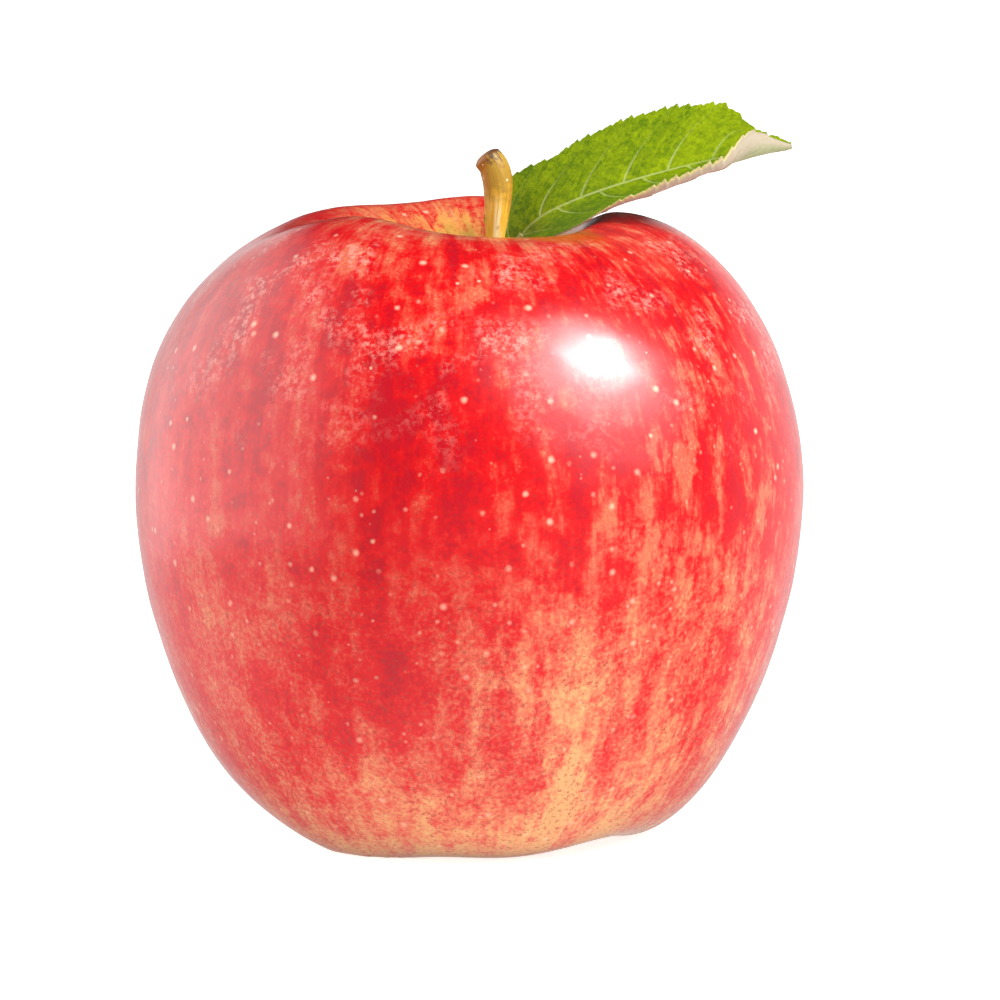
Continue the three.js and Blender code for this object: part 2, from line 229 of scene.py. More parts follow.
class GrowthTree(NodeBench):
    """A geometry tree with named sizes, which grows one piece and is then applied."""

    def __init__(self, name: str) -> None:
        """Makes the tree with its inlet and outlet."""
        super().__init__(bpy.data.node_groups.new(name, "GeometryNodeTree"))
        self.tree.interface.new_socket("Geometry", in_out="OUTPUT", socket_type="NodeSocketGeometry")
        self.inlet = self.add("NodeGroupInput")
        self.values: dict[str, object] = {}

    def size(self, name: str, value: object) -> Socket:
        """Adds a named input.

        Args:
            name: The input's name.
            value: What the modifier sets it to: a number, an object or a material.

        Returns:
            The input's socket inside the tree.
        """
        kinds = {int: "Int", float: "Float", bpy.types.Object: "Object", bpy.types.Material: "Material"}
        kind = f"NodeSocket{kinds[type(value)]}"
        item = self.tree.interface.new_socket(name, in_out="INPUT", socket_type=kind)
        self.values[item.identifier] = value
        return self.inlet.outputs[name]

    def shape(self, name: str, source: bpy.types.Object) -> Socket:
        """The geometry of another object, given to the tree as a named input."""
        info = self.fill(self.add("GeometryNodeObjectInfo"), Object=self.size(name, source))
        return info.outputs["Geometry"]

    def turned_grid(self, sides: int, rows: int) -> tuple[Socket, Socket, Socket]:
        """Lays a flat grid that is to be wrapped round an axis.

        Args:
            sides: How many faces go round.
            rows: How many faces follow the outline.

        Returns:
            The grid, each point's turn in radians, and its share of the outline from 0 to 1.
        """
        grid = self.add("GeometryNodeMeshGrid")
        columns = self.total(self.size("Sides", sides), 1.0)
        lines = self.total(self.size("Rows", rows), 1.0)
        self.fill(grid, Size_X=1.0, Size_Y=1.0, Vertices_X=columns, Vertices_Y=lines)
        across, down, _ = self.split(self.add("GeometryNodeInputPosition").outputs[0])
        turn = self.times(across, math.tau)
        return grid.outputs["Mesh"], turn, self.total(down, 0.5)

    def sampled(self, curve: Socket, **place: Feed) -> bpy.types.Node:
        """A curve's point, tangent and normal at a Factor or a Length of it."""
        mode = "FACTOR" if "Factor" in place else "LENGTH"
        return self.fill(self.add("GeometryNodeSampleCurve", mode=mode), Curves=curve, **place)

    def stored(self, geometry: Socket, name: str, value: Socket) -> Socket:
        """The geometry with a vector kept on its points under a name."""
        node = self.add("GeometryNodeStoreNamedAttribute", data_type="FLOAT_VECTOR", domain="POINT")
        return self.fill(node, Geometry=geometry, Name=name, Value=value).outputs[0]

    def moved(self, geometry: Socket, **change: Socket) -> Socket:
        """The geometry with its points set to a Position or moved by an Offset."""
        return self.fill(self.add("GeometryNodeSetPosition"), Geometry=geometry, **change).outputs[0]

    def random(self, low: Feed, high: Feed, seed: Feed) -> Socket:
        """A random number for each point or instance."""
        node = self.add("FunctionNodeRandomValue", data_type="FLOAT")
        for name, value in (("Min", low), ("Max", high), ("Seed", seed)):
            inlet = next(s for s in node.inputs if s.name == name and s.enabled)
            self.feed(inlet, value)
        return next(s for s in node.outputs if s.enabled)

    def close(self, geometry: Socket, finish: bpy.types.Material) -> None:
        """Ends the tree in one real mesh that carries its finish."""
        real = self.fill(self.add("GeometryNodeRealizeInstances"), Geometry=geometry).outputs[0]
        merged = self.fill(self.add("GeometryNodeMergeByDistance"), Geometry=real, Distance=1e-6).outputs[0]
        dressed = self.add("GeometryNodeSetMaterial")
        self.fill(dressed, Geometry=merged, Material=self.size("Finish", finish))
        self.feed(self.add("NodeGroupOutput").inputs[0], dressed.outputs[0])

    def grow(self, name: str) -> bpy.types.Object:
        """Runs the tree once.

        Args:
            name: The piece's name.

        Returns:
            A plain mesh object at the origin.
        """
        piece = add_object(name, bpy.data.meshes.new(name))
        modifier = piece.modifiers.new("growth", "NODES")
        modifier.node_group = self.tree
        for identifier, value in self.values.items():
            modifier[identifier] = value
        depsgraph = bpy.context.evaluated_depsgraph_get()
        mesh = bpy.data.meshes.new_from_object(piece.evaluated_get(depsgraph), depsgraph=depsgraph)
        piece.modifiers.remove(modifier)
        piece.data = mesh
        mesh.name = name
        face_outwards(mesh)
        return piece


class FinishBench(NodeBench):
    """The node tree of one material, round its shader."""

    def __init__(self, name: str, **constants: Feed) -> None:
        """Makes the material and sets the shader's own sockets.

        Args:
            name: The material's name.
            **constants: What is the same all over the surface, by socket name.
        """
        self.material = bpy.data.materials.new(name)
        self.material.use_nodes = True
        super().__init__(self.material.node_tree)
        self.shader = self.tree.nodes["Principled BSDF"]
        self.fill(self.shader, **constants)

    def place(self) -> Socket:
        """The point's place on the piece, in metres."""
        return self.add("ShaderNodeTexCoord").outputs["Object"]

    def attribute(self, name: str) -> Socket:
        """A vector that the piece keeps on its points."""
        return self.add("ShaderNodeAttribute", attribute_name=name).outputs["Vector"]

    def ramp(self, value: Feed, *stops: tuple[float, Colour]) -> Socket:
        """A colour by a number, from stops of number and colour in rising order."""
        node = self.fill(self.add("ShaderNodeValToRGB"), Fac=value)
        elements = node.color_ramp.elements
        while len(elements) < len(stops):
            elements.new(1.0)
        for element, (position, colour) in zip(elements, stops):
            element.position = position
            element.color = rgba(colour)
        return node.outputs["Color"]

    def level(self, value: Feed, *stops: Stop) -> Socket:
        """A number by a number, from stops in rising order."""
        return self.ramp(value, *((position, (level,) * 3) for position, level in stops))

    def over(self, ground: Feed, colour: Colour, *shares: Feed) -> Socket:
        """Lays a colour over a ground.

        Args:
            ground: The colour below.
            colour: The colour on top.
            *shares: How much of it shows, from 0 to 1. Several shares are multiplied.

        Returns:
            The mixed colour.
        """
        node = self.add("ShaderNodeMix", data_type="RGBA")
        for number, value in ((0, self.times(*shares)), (6, ground), (7, rgba(colour))):
            self.feed(node.inputs[number], value)
        return node.outputs[2]

    def cells(self, vector: Socket, scale: float) -> tuple[Socket, Socket]:
        """Scattered cells.

        Args:
            vector: Where the pattern is read.
            scale: Cells per unit of the vector.

        Returns:
            The distance to a cell's middle, and a number from 0 to 1 that is each cell's own.
        """
        node = self.fill(self.add("ShaderNodeTexVoronoi"), Vector=vector, Scale=scale)
        return node.outputs["Distance"], self.split(node.outputs["Color"])[0]

    def dots(self, vector: Socket, pitch: float, radius: float, share: float, core: float = 0.1) -> Socket:
        """Small round marks.

        Args:
            vector: Where the pattern is read, in metres.
            pitch: Distance between the cells that may hold a mark.
            radius: The largest mark's radius.
            share: How many of the cells hold one.
            core: How much of a mark's radius has its full strength.

        Returns:
            1 on a mark and 0 off it.
        """
        distance, own = self.cells(vector, 1.0 / pitch)
        reach = self.smooth(own, 1.0 - share, 1.0, 0.0, radius / pitch)
        return self.smooth(self.math("DIVIDE", distance, self.total(reach, 1e-4)), core, 1.0, 1.0, 0.0)

    def bump(self, height: Socket, depth: float, strength: float, layer: str = "Normal") -> None:
        """Gives the shader a fine relief.

        Args:
            height: The relief from 0 to 1.
            depth: What 1 stands for, in metres.
            strength: How much of the relief shows.
            layer: The shader's socket for it: Normal, or Coat Normal for the wax on top.
        """
        node = self.fill(self.add("ShaderNodeBump"), Height=height, Distance=depth, Strength=strength)
        self.feed(self.shader.inputs[layer], node.outputs[0])

    def dress(self, **links: Socket) -> bpy.types.Material:
        """Links what varies over the surface to the shader, and returns the material."""
        self.fill(self.shader, **links)
        return self.material


# Meshes


def add_object(name: str, data: bpy.types.ID | None) -> bpy.types.Object:
    """Puts a new object into the scene, at the origin."""
    made = bpy.data.objects.new(name, data)
    bpy.context.scene.collection.objects.link(made)
    return made


def face_outwards(mesh: bpy.types.Mesh) -> None:
    """Turns a closed mesh's faces outwards and shades it smooth."""
    work = bmesh.new()
    work.from_mesh(mesh)
    bmesh.ops.recalc_face_normals(work, faces=work.faces)
    work.to_mesh(mesh)
    work.free()
    mesh.shade_smooth()


def settle(piece: bpy.types.Object, node: str) -> None:
    """Puts a finished piece on the body, in the place of its solid.

    Args:
        piece: The finished mesh object.
        node: The solid that it stands for.
    """
    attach(piece, BODY)
    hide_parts(node)
    log.info("%s: %d faces for %s", piece.name, len(piece.data.polygons), node)


def line_object(
    name: str, lines: list[np.ndarray], radii: list[np.ndarray] | None = None
) -> bpy.types.Object:
    """Draws lines for a geometry tree to read.

    Args:
        name: The object's name.
        lines: Rows of points, one array for each line.
        radii: The line's radius at each point, where it has one.

    Returns:
        A curve object, to be removed after use.
    """
    curve = bpy.data.curves.new(name, "CURVE")
    curve.dimensions = "3D"
    for index, line in enumerate(lines):
        spline = curve.splines.new("POLY")
        spline.points.add(len(line) - 1)
        spline.points.foreach_set("co", np.c_[line, np.ones(len(line))].ravel())
        if radii:
            spline.points.foreach_set("radius", radii[index])
    return add_object(name, curve)


def discard(*helpers: bpy.types.Object) -> None:
    """Removes objects that only a tree needed."""
    for helper in helpers:
        bpy.data.objects.remove(helper)


def sheet_mesh(name: str, upper: np.ndarray, lower: np.ndarray) -> bpy.types.Mesh:
    """Closes two faces of a thin sheet along their rim.

    Args:
        name: The mesh's name.
        upper: Points of the upper face, in rows and columns.
        lower: Points of the lower face, in the same rows and columns.

    Returns:
        The mesh. Its lower face and its rim have the material index 1.
    """
    rows, columns = upper.shape[:2]
    under = rows * columns
    index = np.arange(under).reshape(rows, columns)
    top = np.stack((index[:-1, :-1], index[:-1, 1:], index[1:, 1:], index[1:, :-1]), -1).reshape(-1, 4)
    loop = np.concatenate((index[0, :-1], index[:-1, -1], index[-1, :0:-1], index[:0:-1, 0]))
    ahead = np.roll(loop, -1)
    rim = np.stack((ahead, loop, loop + under, ahead + under), -1)
    faces = np.concatenate((top, top[:, ::-1] + under, rim))
    mesh = bpy.data.meshes.new(name)
    mesh.from_pydata(
        np.concatenate((upper.reshape(-1, 3), lower.reshape(-1, 3))).tolist(), [], faces.tolist()
    )
    kinds = np.concatenate((np.zeros(len(top), int), np.ones(len(faces) - len(top), int)))
    mesh.polygons.foreach_set("material_index", kinds)
    face_outwards(mesh)
    return mesh


def rod_outline(radii: np.ndarray, length: float) -> np.ndarray:
    """The outline of a rod that is closed at both ends.

    Args:
        radii: The rod's radius at even steps along it.
        length: How long it is.

    Returns:
        Points in the XZ plane: x is the radius, and z is how far along the rod.
    """
    heights = np.linspace(0.0, 1.0, len(radii)) * length
    side = np.stack((radii, np.zeros(len(radii)), heights), -1)
    return np.vstack(((0.0, 0.0, 0.0), side, (0.0, 0.0, length)))


@dataclass(frozen=True)
class Route:
    """A smooth line through a few points.

    Attributes:
        points: What the line passes through, in millimetres.
    """

    points: tuple[Point, ...]

    def dense(self, steps: int = 24) -> np.ndarray:
        """Points close together along the line, in metres.

        Args:
            steps: How many points there are from each given point to the next.

        Returns:
            The points, in rows.
        """
        given = np.array(self.points) * MM
        held = np.vstack((2 * given[0] - given[1], given, 2 * given[-1] - given[-2]))
        spans = []
        for a, b, c, d in zip(held, held[1:], held[2:], held[3:]):
            gaps = [math.sqrt(np.linalg.norm(q - p)) for p, q in ((a, b), (b, c), (c, d))]
            leave = ((b - a) / gaps[0] - (c - a) / (gaps[0] + gaps[1]) + (c - b) / gaps[1]) * gaps[1]
            arrive = ((c - b) / gaps[1] - (d - b) / (gaps[1] + gaps[2]) + (d - c) / gaps[2]) * gaps[1]
            t = np.linspace(0.0, 1.0, steps, endpoint=False)[:, None]
            spans.append(
                (2 * t**3 - 3 * t**2 + 1) * b
                + (t**3 - 2 * t**2 + t) * leave
                + (3 * t**2 - 2 * t**3) * c
                + (t**3 - t**2) * arrive
            )
        return np.vstack((*spans, given[-1]))

    def length(self) -> float:
        """The line's length in metres."""
        return float(np.linalg.norm(np.diff(self.dense(), axis=0), axis=1).sum())

    def at(self, shares: np.ndarray) -> tuple[np.ndarray, np.ndarray]:
        """Points and directions at shares of the line's length.

        Args:
            shares: From 0 at its start to 1 at its end.

        Returns:
            Points in metres, and unit vectors along the line.
        """
        dense = self.dense()
        run = np.concatenate(([0.0], np.cumsum(np.linalg.norm(np.diff(dense, axis=0), axis=1))))
        slopes = np.gradient(dense, run, axis=0)
        wanted = shares * run[-1]
        points, tangents = (
            np.stack([np.interp(wanted, run, column) for column in rows.T], -1) for rows in (dense, slopes)
        )
        return points, unit(tangents)


# Finishes


@dataclass(frozen=True)
class SkinPatch:
    """A place where the skin is redder or yellower than round it.

    Attributes:
        azimuth: Degrees from the front towards the right.
        share: Place along the outline, from the stem's hole at 0 to the calyx at 1.
        width: Half its width in degrees.
        length: Half its length, as a share of the outline.
        redness: What it adds to the redness, which is below 0 for a yellow patch.
    """

    azimuth: float
    share: float
    width: float
    length: float
    redness: float


@dataclass(frozen=True)
class SkinFinish:
    """Waxy apple skin: a yellow ground under red stripes, with pale flecks and dots."""

    colours: tuple[tuple[float, Colour], ...] = (
        (0.0, (0.7, 0.36, 0.14)),
        (0.15, (0.69, 0.26, 0.11)),
        (0.3, (0.67, 0.165, 0.08)),
        (0.45, (0.65, 0.085, 0.048)),
        (0.6, (0.64, 0.03, 0.02)),
        (0.74, (0.64, 0.004, 0.007)),
        (0.88, (0.56, 0.003, 0.007)),
        (1.0, (0.46, 0.003, 0.012)),
    )
    redness: tuple[Stop, ...] = (
        (0.05, 0.02),
        (0.12, 0.2),
        (0.19, 0.46),
        (0.23, 0.66),
        (0.26, 0.8),
        (0.4, 0.82),
        (0.5, 0.72),
        (0.6, 0.62),
        (0.7, 0.53),
        (0.76, 0.31),
        (0.82, 0.07),
        (0.93, 0.05),
    )
    sunny_side: Point = heading(0.5)
    stroked_side: Point = heading(1.05)
    least: tuple[Stop, ...] = ((0.2, 0.0), (0.26, 0.46), (0.45, 0.5), (0.56, 0.34), (0.68, 0.0))
    patches: tuple[SkinPatch, ...] = (
        SkinPatch(36.0, 0.6, 28.0, 0.14, -0.21),
        SkinPatch(19.5, 0.76, 5.5, 0.065, -0.32),
        SkinPatch(3.0, 0.77, 10.0, 0.03, -0.12),
        SkinPatch(27.0, 0.79, 24.0, 0.04, -0.1),
        SkinPatch(-52.0, 0.77, 30.0, 0.06, 0.12),
        SkinPatch(-20.0, 0.72, 3.0, 0.06, -0.16),
        SkinPatch(-12.0, 0.63, 7.0, 0.05, 0.26),
        SkinPatch(-25.0, 0.68, 3.5, 0.04, 0.22),
        SkinPatch(-5.0, 0.7, 3.5, 0.03, 0.2),
        SkinPatch(-41.0, 0.65, 3.5, 0.03, 0.18),
        SkinPatch(-8.0, 0.46, 12.0, 0.08, 0.22),
        SkinPatch(25.0, 0.55, 3.5, 0.025, 0.24),
        SkinPatch(47.0, 0.49, 7.0, 0.035, 0.2),
        SkinPatch(-27.0, 0.275, 5.0, 0.02, -0.3),
        SkinPatch(2.0, 0.285, 4.5, 0.025, -0.26),
        # Painted shade: deeper red on the right shoulder just under the leaf, where its shadow falls.
        SkinPatch(52.0, 0.21, 26.0, 0.02, 0.3),
        SkinPatch(4.0, 0.73, 5.0, 0.04, -0.14),
        SkinPatch(150.0, 0.72, 12.0, 0.09, -0.28),
        SkinPatch(-120.0, 0.74, 9.0, 0.07, -0.25),
        SkinPatch(-160.0, 0.6, 26.0, 0.12, -0.16),
    )
    green: Colour = (0.34, 0.3, 0.05)
    ochre: Colour = (0.78, 0.36, 0.07)
    russet: Colour = (0.3, 0.17, 0.07)
    fleck: Colour = (0.88, 0.4, 0.32)
    dot: Colour = (0.92, 0.58, 0.4)
    speck: Colour = (0.36, 0.03, 0.02)

    def redness_at(self, bench: FinishBench, place: Socket, meridian: Socket) -> Socket:
        """How red the skin is: its stripes and patches over the change from the stem to the calyx.

        Args:
            bench: The material's tree.
            place: The point's place.
            meridian: Sine and cosine of the azimuth, and the share of the outline.

        Returns:
            From 0 for the yellow ground to 1 for the darkest red.
        """
        share = bench.split(meridian)[2]
        bands = bench.noise(bench.stretched(meridian, 5.0, 4.0), 1.0, 2.0)
        stripes = bench.noise(bench.stretched(meridian, 13.0, 11.0), 1.0, 3.0, 0.6)
        dashes = bench.noise(bench.stretched(meridian, 36.0, 40.0), 1.0, 3.0, 0.65)
        blotches = bench.noise(place, 120.0, 3.0, 0.6)
        spots = bench.noise(place, 420.0, 3.0, 0.6)
        grain = bench.noise(place, 1900.0, 3.0, 0.65)
        sunny = bench.smooth(bench.vector("DOT_PRODUCT", meridian, self.sunny_side), -0.4, 0.7, 0.4, 1.0)
        upper = bench.smooth(share, 0.44, 0.6, 1.0, 0.25)
        lively = bench.times(sunny, upper)
        bare = bench.smooth(bench.total(stripes, spots), 1.2, 0.85)
        mottled = bench.times(bench.smooth(grain, 0.46, 0.64), bare)
        stroked = bench.vector("DOT_PRODUCT", meridian, self.stroked_side)
        stroked = bench.smooth(stroked, 0.75, 0.97, 0.09, 0.2)
        parts = [
            bench.level(share, *self.redness),
            bench.swing(bench.smooth(bands, 0.3, 0.7), 0.09),
            bench.swing(bench.smooth(stripes, 0.3, 0.7), bench.math("MULTIPLY_ADD", lively, 0.09, 0.08)),
            bench.swing(bench.smooth(dashes, 0.3, 0.7), bench.times(upper, stroked)),
            bench.swing(bench.smooth(blotches, 0.32, 0.68), 0.07),
            bench.swing(bench.smooth(spots, 0.34, 0.66), 0.1),
        ]
        frayed = bench.times(bench.total(stripes, dashes, blotches), 1.0 / 3.0)
        for patch in self.patches:
            parts.append(bench.times(self.within(bench, patch, meridian, frayed), patch.redness))
        ground = bench.most(bench.total(*parts), bench.level(share, *self.least))
        grains = bench.swing(bench.smooth(grain, 0.34, 0.66), bench.smooth(share, 0.45, 0.6, 0.12, 0.15))
        return bench.total(ground, grains, bench.times(mottled, lively, -0.34))

    def within(self, bench: FinishBench, patch: SkinPatch, meridian: Socket, edge: Socket) -> Socket:
        """How far a point lies inside a patch.

        Args:
            bench: The material's tree.
            patch: The patch.
            meridian: Sine and cosine of the azimuth, and the share of the outline.
            edge: Noise that frays the patch's edge.

        Returns:
            1 in its middle and 0 outside it.
        """
        facing = bench.vector("DOT_PRODUCT", meridian, heading(math.radians(patch.azimuth)))
        breadth = 1.0 - math.cos(math.radians(patch.width))
        aside = bench.math("DIVIDE", bench.math("SUBTRACT", 1.0, facing), breadth)
        off = bench.math("SUBTRACT", bench.split(meridian)[2], patch.share)
        off = bench.math("DIVIDE", off, patch.length)
        reach = bench.total(aside, bench.times(off, off), bench.swing(edge, 2.4))
        return bench.smooth(reach, 0.0, 1.6, 1.0, 0.0)

    def material(self) -> bpy.types.Material:
        """Makes the material."""
        bench = FinishBench(
            "apple_skin", Coat_Weight=1.0, Coat_Roughness=0.2, Coat_IOR=1.6, Specular_IOR_Level=0.05
        )
        place = bench.place()
        meridian = bench.attribute("meridian")
        share = bench.split(meridian)[2]
        redness = self.redness_at(bench, place, meridian)
        colour = bench.ramp(redness, *self.colours)

        patches = bench.noise(place, 160.0, 2.0)
        crumbs = bench.noise(place, 1300.0, 4.0, 0.75)
        rim = bench.level(share, (0.2, 0.0), (0.27, 1.0), (0.36, 0.8), (0.47, 0.0))
        scarf = bench.times(bench.smooth(patches, 0.46, 0.68), bench.smooth(crumbs, 0.44, 0.64))
        colour = bench.over(colour, self.fleck, scarf, rim, 0.66)

        shade = bench.noise(bench.stretched(meridian, 9.0, 30.0), 1.0)
        funnel = bench.total(share, bench.swing(shade, 0.05))
        pale = bench.times(bench.smooth(funnel, 0.2, 0.15, 0.0, 0.75), bench.smooth(redness, 0.55, 0.25))
        colour = bench.over(colour, self.ochre, pale)
        colour = bench.over(colour, self.green, bench.smooth(funnel, 0.165, 0.12, 0.0, 0.85))
        colour = bench.over(colour, self.russet, bench.smooth(funnel, 0.885, 0.955, 0.0, 0.8))

        specks = bench.smooth(bench.noise(place, 2300.0, 2.0, 0.6), 0.53, 0.68)
        sprinkled = bench.smooth(bench.noise(place, 150.0), 0.3, 0.55, 0.3, 0.65)
        sprinkled = bench.times(sprinkled, bench.smooth(share, 0.44, 0.58, 0.5, 1.0))
        colour = bench.over(colour, self.speck, specks, sprinkled)
        wander = bench.combine(crumbs, bench.noise(place, 2100.0, 1.0), patches)
        warped = bench.vector("ADD", place, bench.scaled(wander, 0.3 * MM))
        large = bench.dots(warped, 2.3 * MM, 0.58 * MM, 0.85)
        small = bench.dots(warped, 1.6 * MM, 0.36 * MM, 0.8)
        small = bench.times(small, bench.smooth(share, 0.35, 0.6, 0.2, 0.8))
        dots = bench.most(large, small)
        colour = bench.over(colour, self.dot, dots, bench.smooth(share, 0.4, 0.6, 0.75, 0.42))

        relief = bench.total(crumbs, bench.times(dots, 0.5))
        bench.bump(relief, 0.06 * MM, 0.5)
        bench.bump(relief, 0.06 * MM, 0.14, "Coat Normal")
        rough = bench.smooth(crumbs, 0.3, 0.7, 0.38, 0.52)
        return bench.dress(Base_Color=colour, Roughness=rough)


@dataclass(frozen=True)
class BarkFinish:
    """Young bark of the stem: golden, ribbed and smooth, brown at the scar, with painted shade at its sides
    and a painted highlight strip on its front.
    """

    name: str = "stem_bark"
    green: Colour = (0.55, 0.42, 0.1)
    gold: Colour = (0.84, 0.48, 0.05)
    pale: Colour = (0.95, 0.82, 0.5)
    olive: Colour = (0.44, 0.26, 0.03)
    brown: Colour = (0.4, 0.14, 0.02)
    scar: Colour = (0.07, 0.035, 0.02)

    def material(self) -> bpy.types.Material:
        """Makes the material."""
        bench = FinishBench(
            self.name, Coat_Weight=0.14, Coat_Roughness=0.3, IOR=1.4, Specular_IOR_Level=0.35
        )
        place = bench.place()
        turned = bench.attribute("turned")
        share = bench.split(turned)[2]
        x, y, _ = bench.split(place)
        fibres = bench.noise(bench.stretched(turned, 3.6, 3.0), 1.0, 3.0, 0.6)
        mottle = bench.noise(place, 1100.0, 3.0, 0.65)
        length = bench.total(share, bench.swing(fibres, 0.06), bench.swing(mottle, 0.1))
        colour = bench.ramp(
            length,
            (0.2, self.green),
            (0.4, self.gold),
            (0.72, self.gold),
            (0.82, self.olive),
            (0.9, self.olive),
            (0.94, self.scar),
        )
        aside = bench.total(x, bench.swing(fibres, 1.4 * MM))
        # Painted shade: brown is laid over the stem's left and right sides, where the shade falls.
        left = bench.smooth(aside, 2.6 * MM, 1.4 * MM, 0.0, 0.8)
        right = bench.smooth(aside, 3.9 * MM, 4.8 * MM, 0.0, 0.6)
        colour = bench.over(colour, self.brown, bench.most(left, right))
        # Painted highlight: a pale strip down the front of the stem's body, where the light glints.
        front = bench.times(bench.smooth(y, -0.4 * MM, -1.0 * MM), bench.smooth(share, 0.68, 0.8, 1.0, 0.0))
        painted_highlight_strip = bench.smooth(aside, 2.3 * MM, 2.9 * MM)
        painted_highlight_strip = bench.times(painted_highlight_strip, bench.smooth(aside, 3.7 * MM, 3.1 * MM))
        colour = bench.over(colour, self.pale, painted_highlight_strip, front, 0.8)
        ribs = bench.smooth(fibres, 0.52, 0.66, 0.0, bench.smooth(share, 0.3, 0.7, 0.2, 0.6))
        colour = bench.over(colour, self.brown, ribs)
        colour = bench.over(colour, self.brown, bench.smooth(mottle, 0.56, 0.72, 0.0, 0.45))
        colour = bench.over(colour, self.pale, bench.dots(place, 0.9 * MM, 0.3 * MM, 0.6, 0.3))
        bench.bump(bench.total(fibres, bench.times(mottle, 0.4)), 0.25 * MM, 0.6)
        return bench.dress(Base_Color=colour, Roughness=bench.smooth(mottle, 0.3, 0.7, 0.35, 0.55))


@dataclass(frozen=True)
class BladeFinish:
    """The upper face of the leaf: bright green, with pale veins in a fine net, and painted shade over its
    near half and base.
    """

    bright: Colour = (0.28, 0.37, 0.002)
    deep: Colour = (0.085, 0.16, 0.002)
    vein: Colour = (0.5, 0.56, 0.2)

    def material(self) -> bpy.types.Material:
        """Makes the material."""
        bench = FinishBench("leaf_upper", IOR=1.32, Specular_IOR_Level=0.2)
        place = bench.place()
        along, across, phase = bench.split(bench.attribute("blade"))
        aside = bench.math("ABSOLUTE", across)
        cloud = bench.noise(place, 180.0, 3.0, 0.6)
        tissue = bench.noise(place, 2600.0, 3.0, 0.75)
        rippled = bench.combine(bench.times(phase, 14.0), bench.times(across, 5.0), 0.0)
        ripple = bench.noise(rippled, 1.0, 3.0, 0.65)
        cell = bench.cells(place, 1500.0)[1]
        swings = ((cloud, 0.5), (tissue, 0.8), (cell, 0.22), (ripple, 0.6))
        tone = bench.total(0.55, *(bench.swing(noise, amount) for noise, amount in swings))
        # Painted shade: the blade's near half and its base near the stalk are darker.
        painted_shade_near_half = bench.smooth(across, -0.1, 0.5, 0.0, 0.44)
        low = bench.smooth(along, 0.4, 0.05, 0.0, 0.38)
        tone = bench.math("SUBTRACT", tone, bench.most(painted_shade_near_half, low))
        colour = bench.over(rgba(self.deep), self.bright, tone)
        width = bench.smooth(aside, 0.0, 1.0, 0.055, 0.02)
        side_vein = bench.smooth(bench.math("PINGPONG", phase, 0.5), 0.0, width, 1.0, 0.0)
        rib = bench.smooth(aside, 0.0, bench.smooth(along, 0.0, 1.0, 0.05, 0.025), 1.0, 0.0)
        faded = bench.smooth(aside, 0.85, 0.15, 0.15, 0.9)
        faded = bench.times(faded, bench.smooth(cloud, 0.3, 0.55, 0.5, 1.0))
        pale = bench.most(rib, bench.times(side_vein, faded))
        pale = bench.times(pale, bench.smooth(along, 0.4, 0.85, 0.7, 0.45))
        colour = bench.over(colour, self.vein, pale)
        relief = bench.total(bench.times(tissue, 0.6), bench.times(pale, -0.6))
        bench.bump(relief, 0.2 * MM, 0.7)
        return bench.dress(Base_Color=colour, Roughness=bench.smooth(tissue, 0.3, 0.7, 0.44, 0.6))


@dataclass(frozen=True)
class UndersideFinish:
    """The lower face of the leaf: pale, dull and felted, with a yellowish margin."""

    felt: Colour = (0.34, 0.38, 0.2)
    shade: Colour = (0.2, 0.24, 0.085)
    blush: Colour = (0.41, 0.32, 0.25)
    margin: Colour = (0.6, 0.52, 0.18)

    def material(self) -> bpy.types.Material:
        """Makes the material."""
        bench = FinishBench(
            "leaf_under", Sheen_Weight=0.1, Sheen_Roughness=0.5, IOR=1.4, Specular_IOR_Level=0.3
        )
        place = bench.place()
        along, across, phase = bench.split(bench.attribute("blade"))
        hairs = bench.noise(bench.vector("MULTIPLY", place, (900.0, 2600.0, 2600.0)), 1.0, 3.0, 0.6)
        drawn = bench.combine(bench.times(along, 9.0), bench.times(across, 22.0), 0.0)
        streaks = bench.noise(drawn, 1.0, 3.0, 0.6)
        colour = bench.over(rgba(self.felt), self.shade, bench.smooth(streaks, 0.42, 0.68, 0.0, 0.8))
        colour = bench.over(colour, self.shade, bench.smooth(hairs, 0.45, 0.75, 0.0, 0.5))
        folds = bench.smooth(bench.math("PINGPONG", phase, 0.5), 0.0, 0.08, 0.4, 0.0)
        colour = bench.over(colour, self.felt, folds)
        outward = bench.math("ABSOLUTE", across)
        dry = bench.smooth(along, 0.25, 0.45, 0.1, 1.0)
        blushing = bench.smooth(outward, 0.45, 0.85, 0.0, 0.8)
        colour = bench.over(colour, self.blush, blushing, dry)
        rimmed = bench.smooth(outward, 0.95, 0.995, 0.0, 0.85)
        colour = bench.over(colour, self.margin, rimmed, dry)
        bench.bump(hairs, 0.1 * MM, 0.4)
        return bench.dress(Base_Color=colour, Roughness=bench.smooth(hairs, 0.3, 0.7, 0.65, 0.85))


@dataclass(frozen=True)
class DriedFinish:
    """Dried flower parts: brown and wrinkled, greyer where they are felted."""

    name: str = "dried_calyx"
    dark: Colour = (0.09, 0.05, 0.025)
    light: Colour = (0.33, 0.22, 0.11)

    def material(self) -> bpy.types.Material:
        """Makes the material."""
        bench = FinishBench(self.name, Sheen_Weight=0.2, Sheen_Roughness=0.5, IOR=1.4)
        place = bench.place()
        wrinkles = bench.noise(bench.vector("MULTIPLY", place, (1600.0, 1600.0, 450.0)), 1.0, 4.0, 0.65)
        cloud = bench.noise(place, 420.0, 2.0)
        tone = bench.total(bench.smooth(wrinkles, 0.35, 0.7, 0.0, 0.7), bench.swing(cloud, 0.4))
        colour = bench.over(rgba(self.dark), self.light, tone)
        bench.bump(wrinkles, 0.2 * MM, 0.7)
        return bench.dress(Base_Color=colour, Roughness=bench.smooth(wrinkles, 0.3, 0.7, 0.7, 0.92))


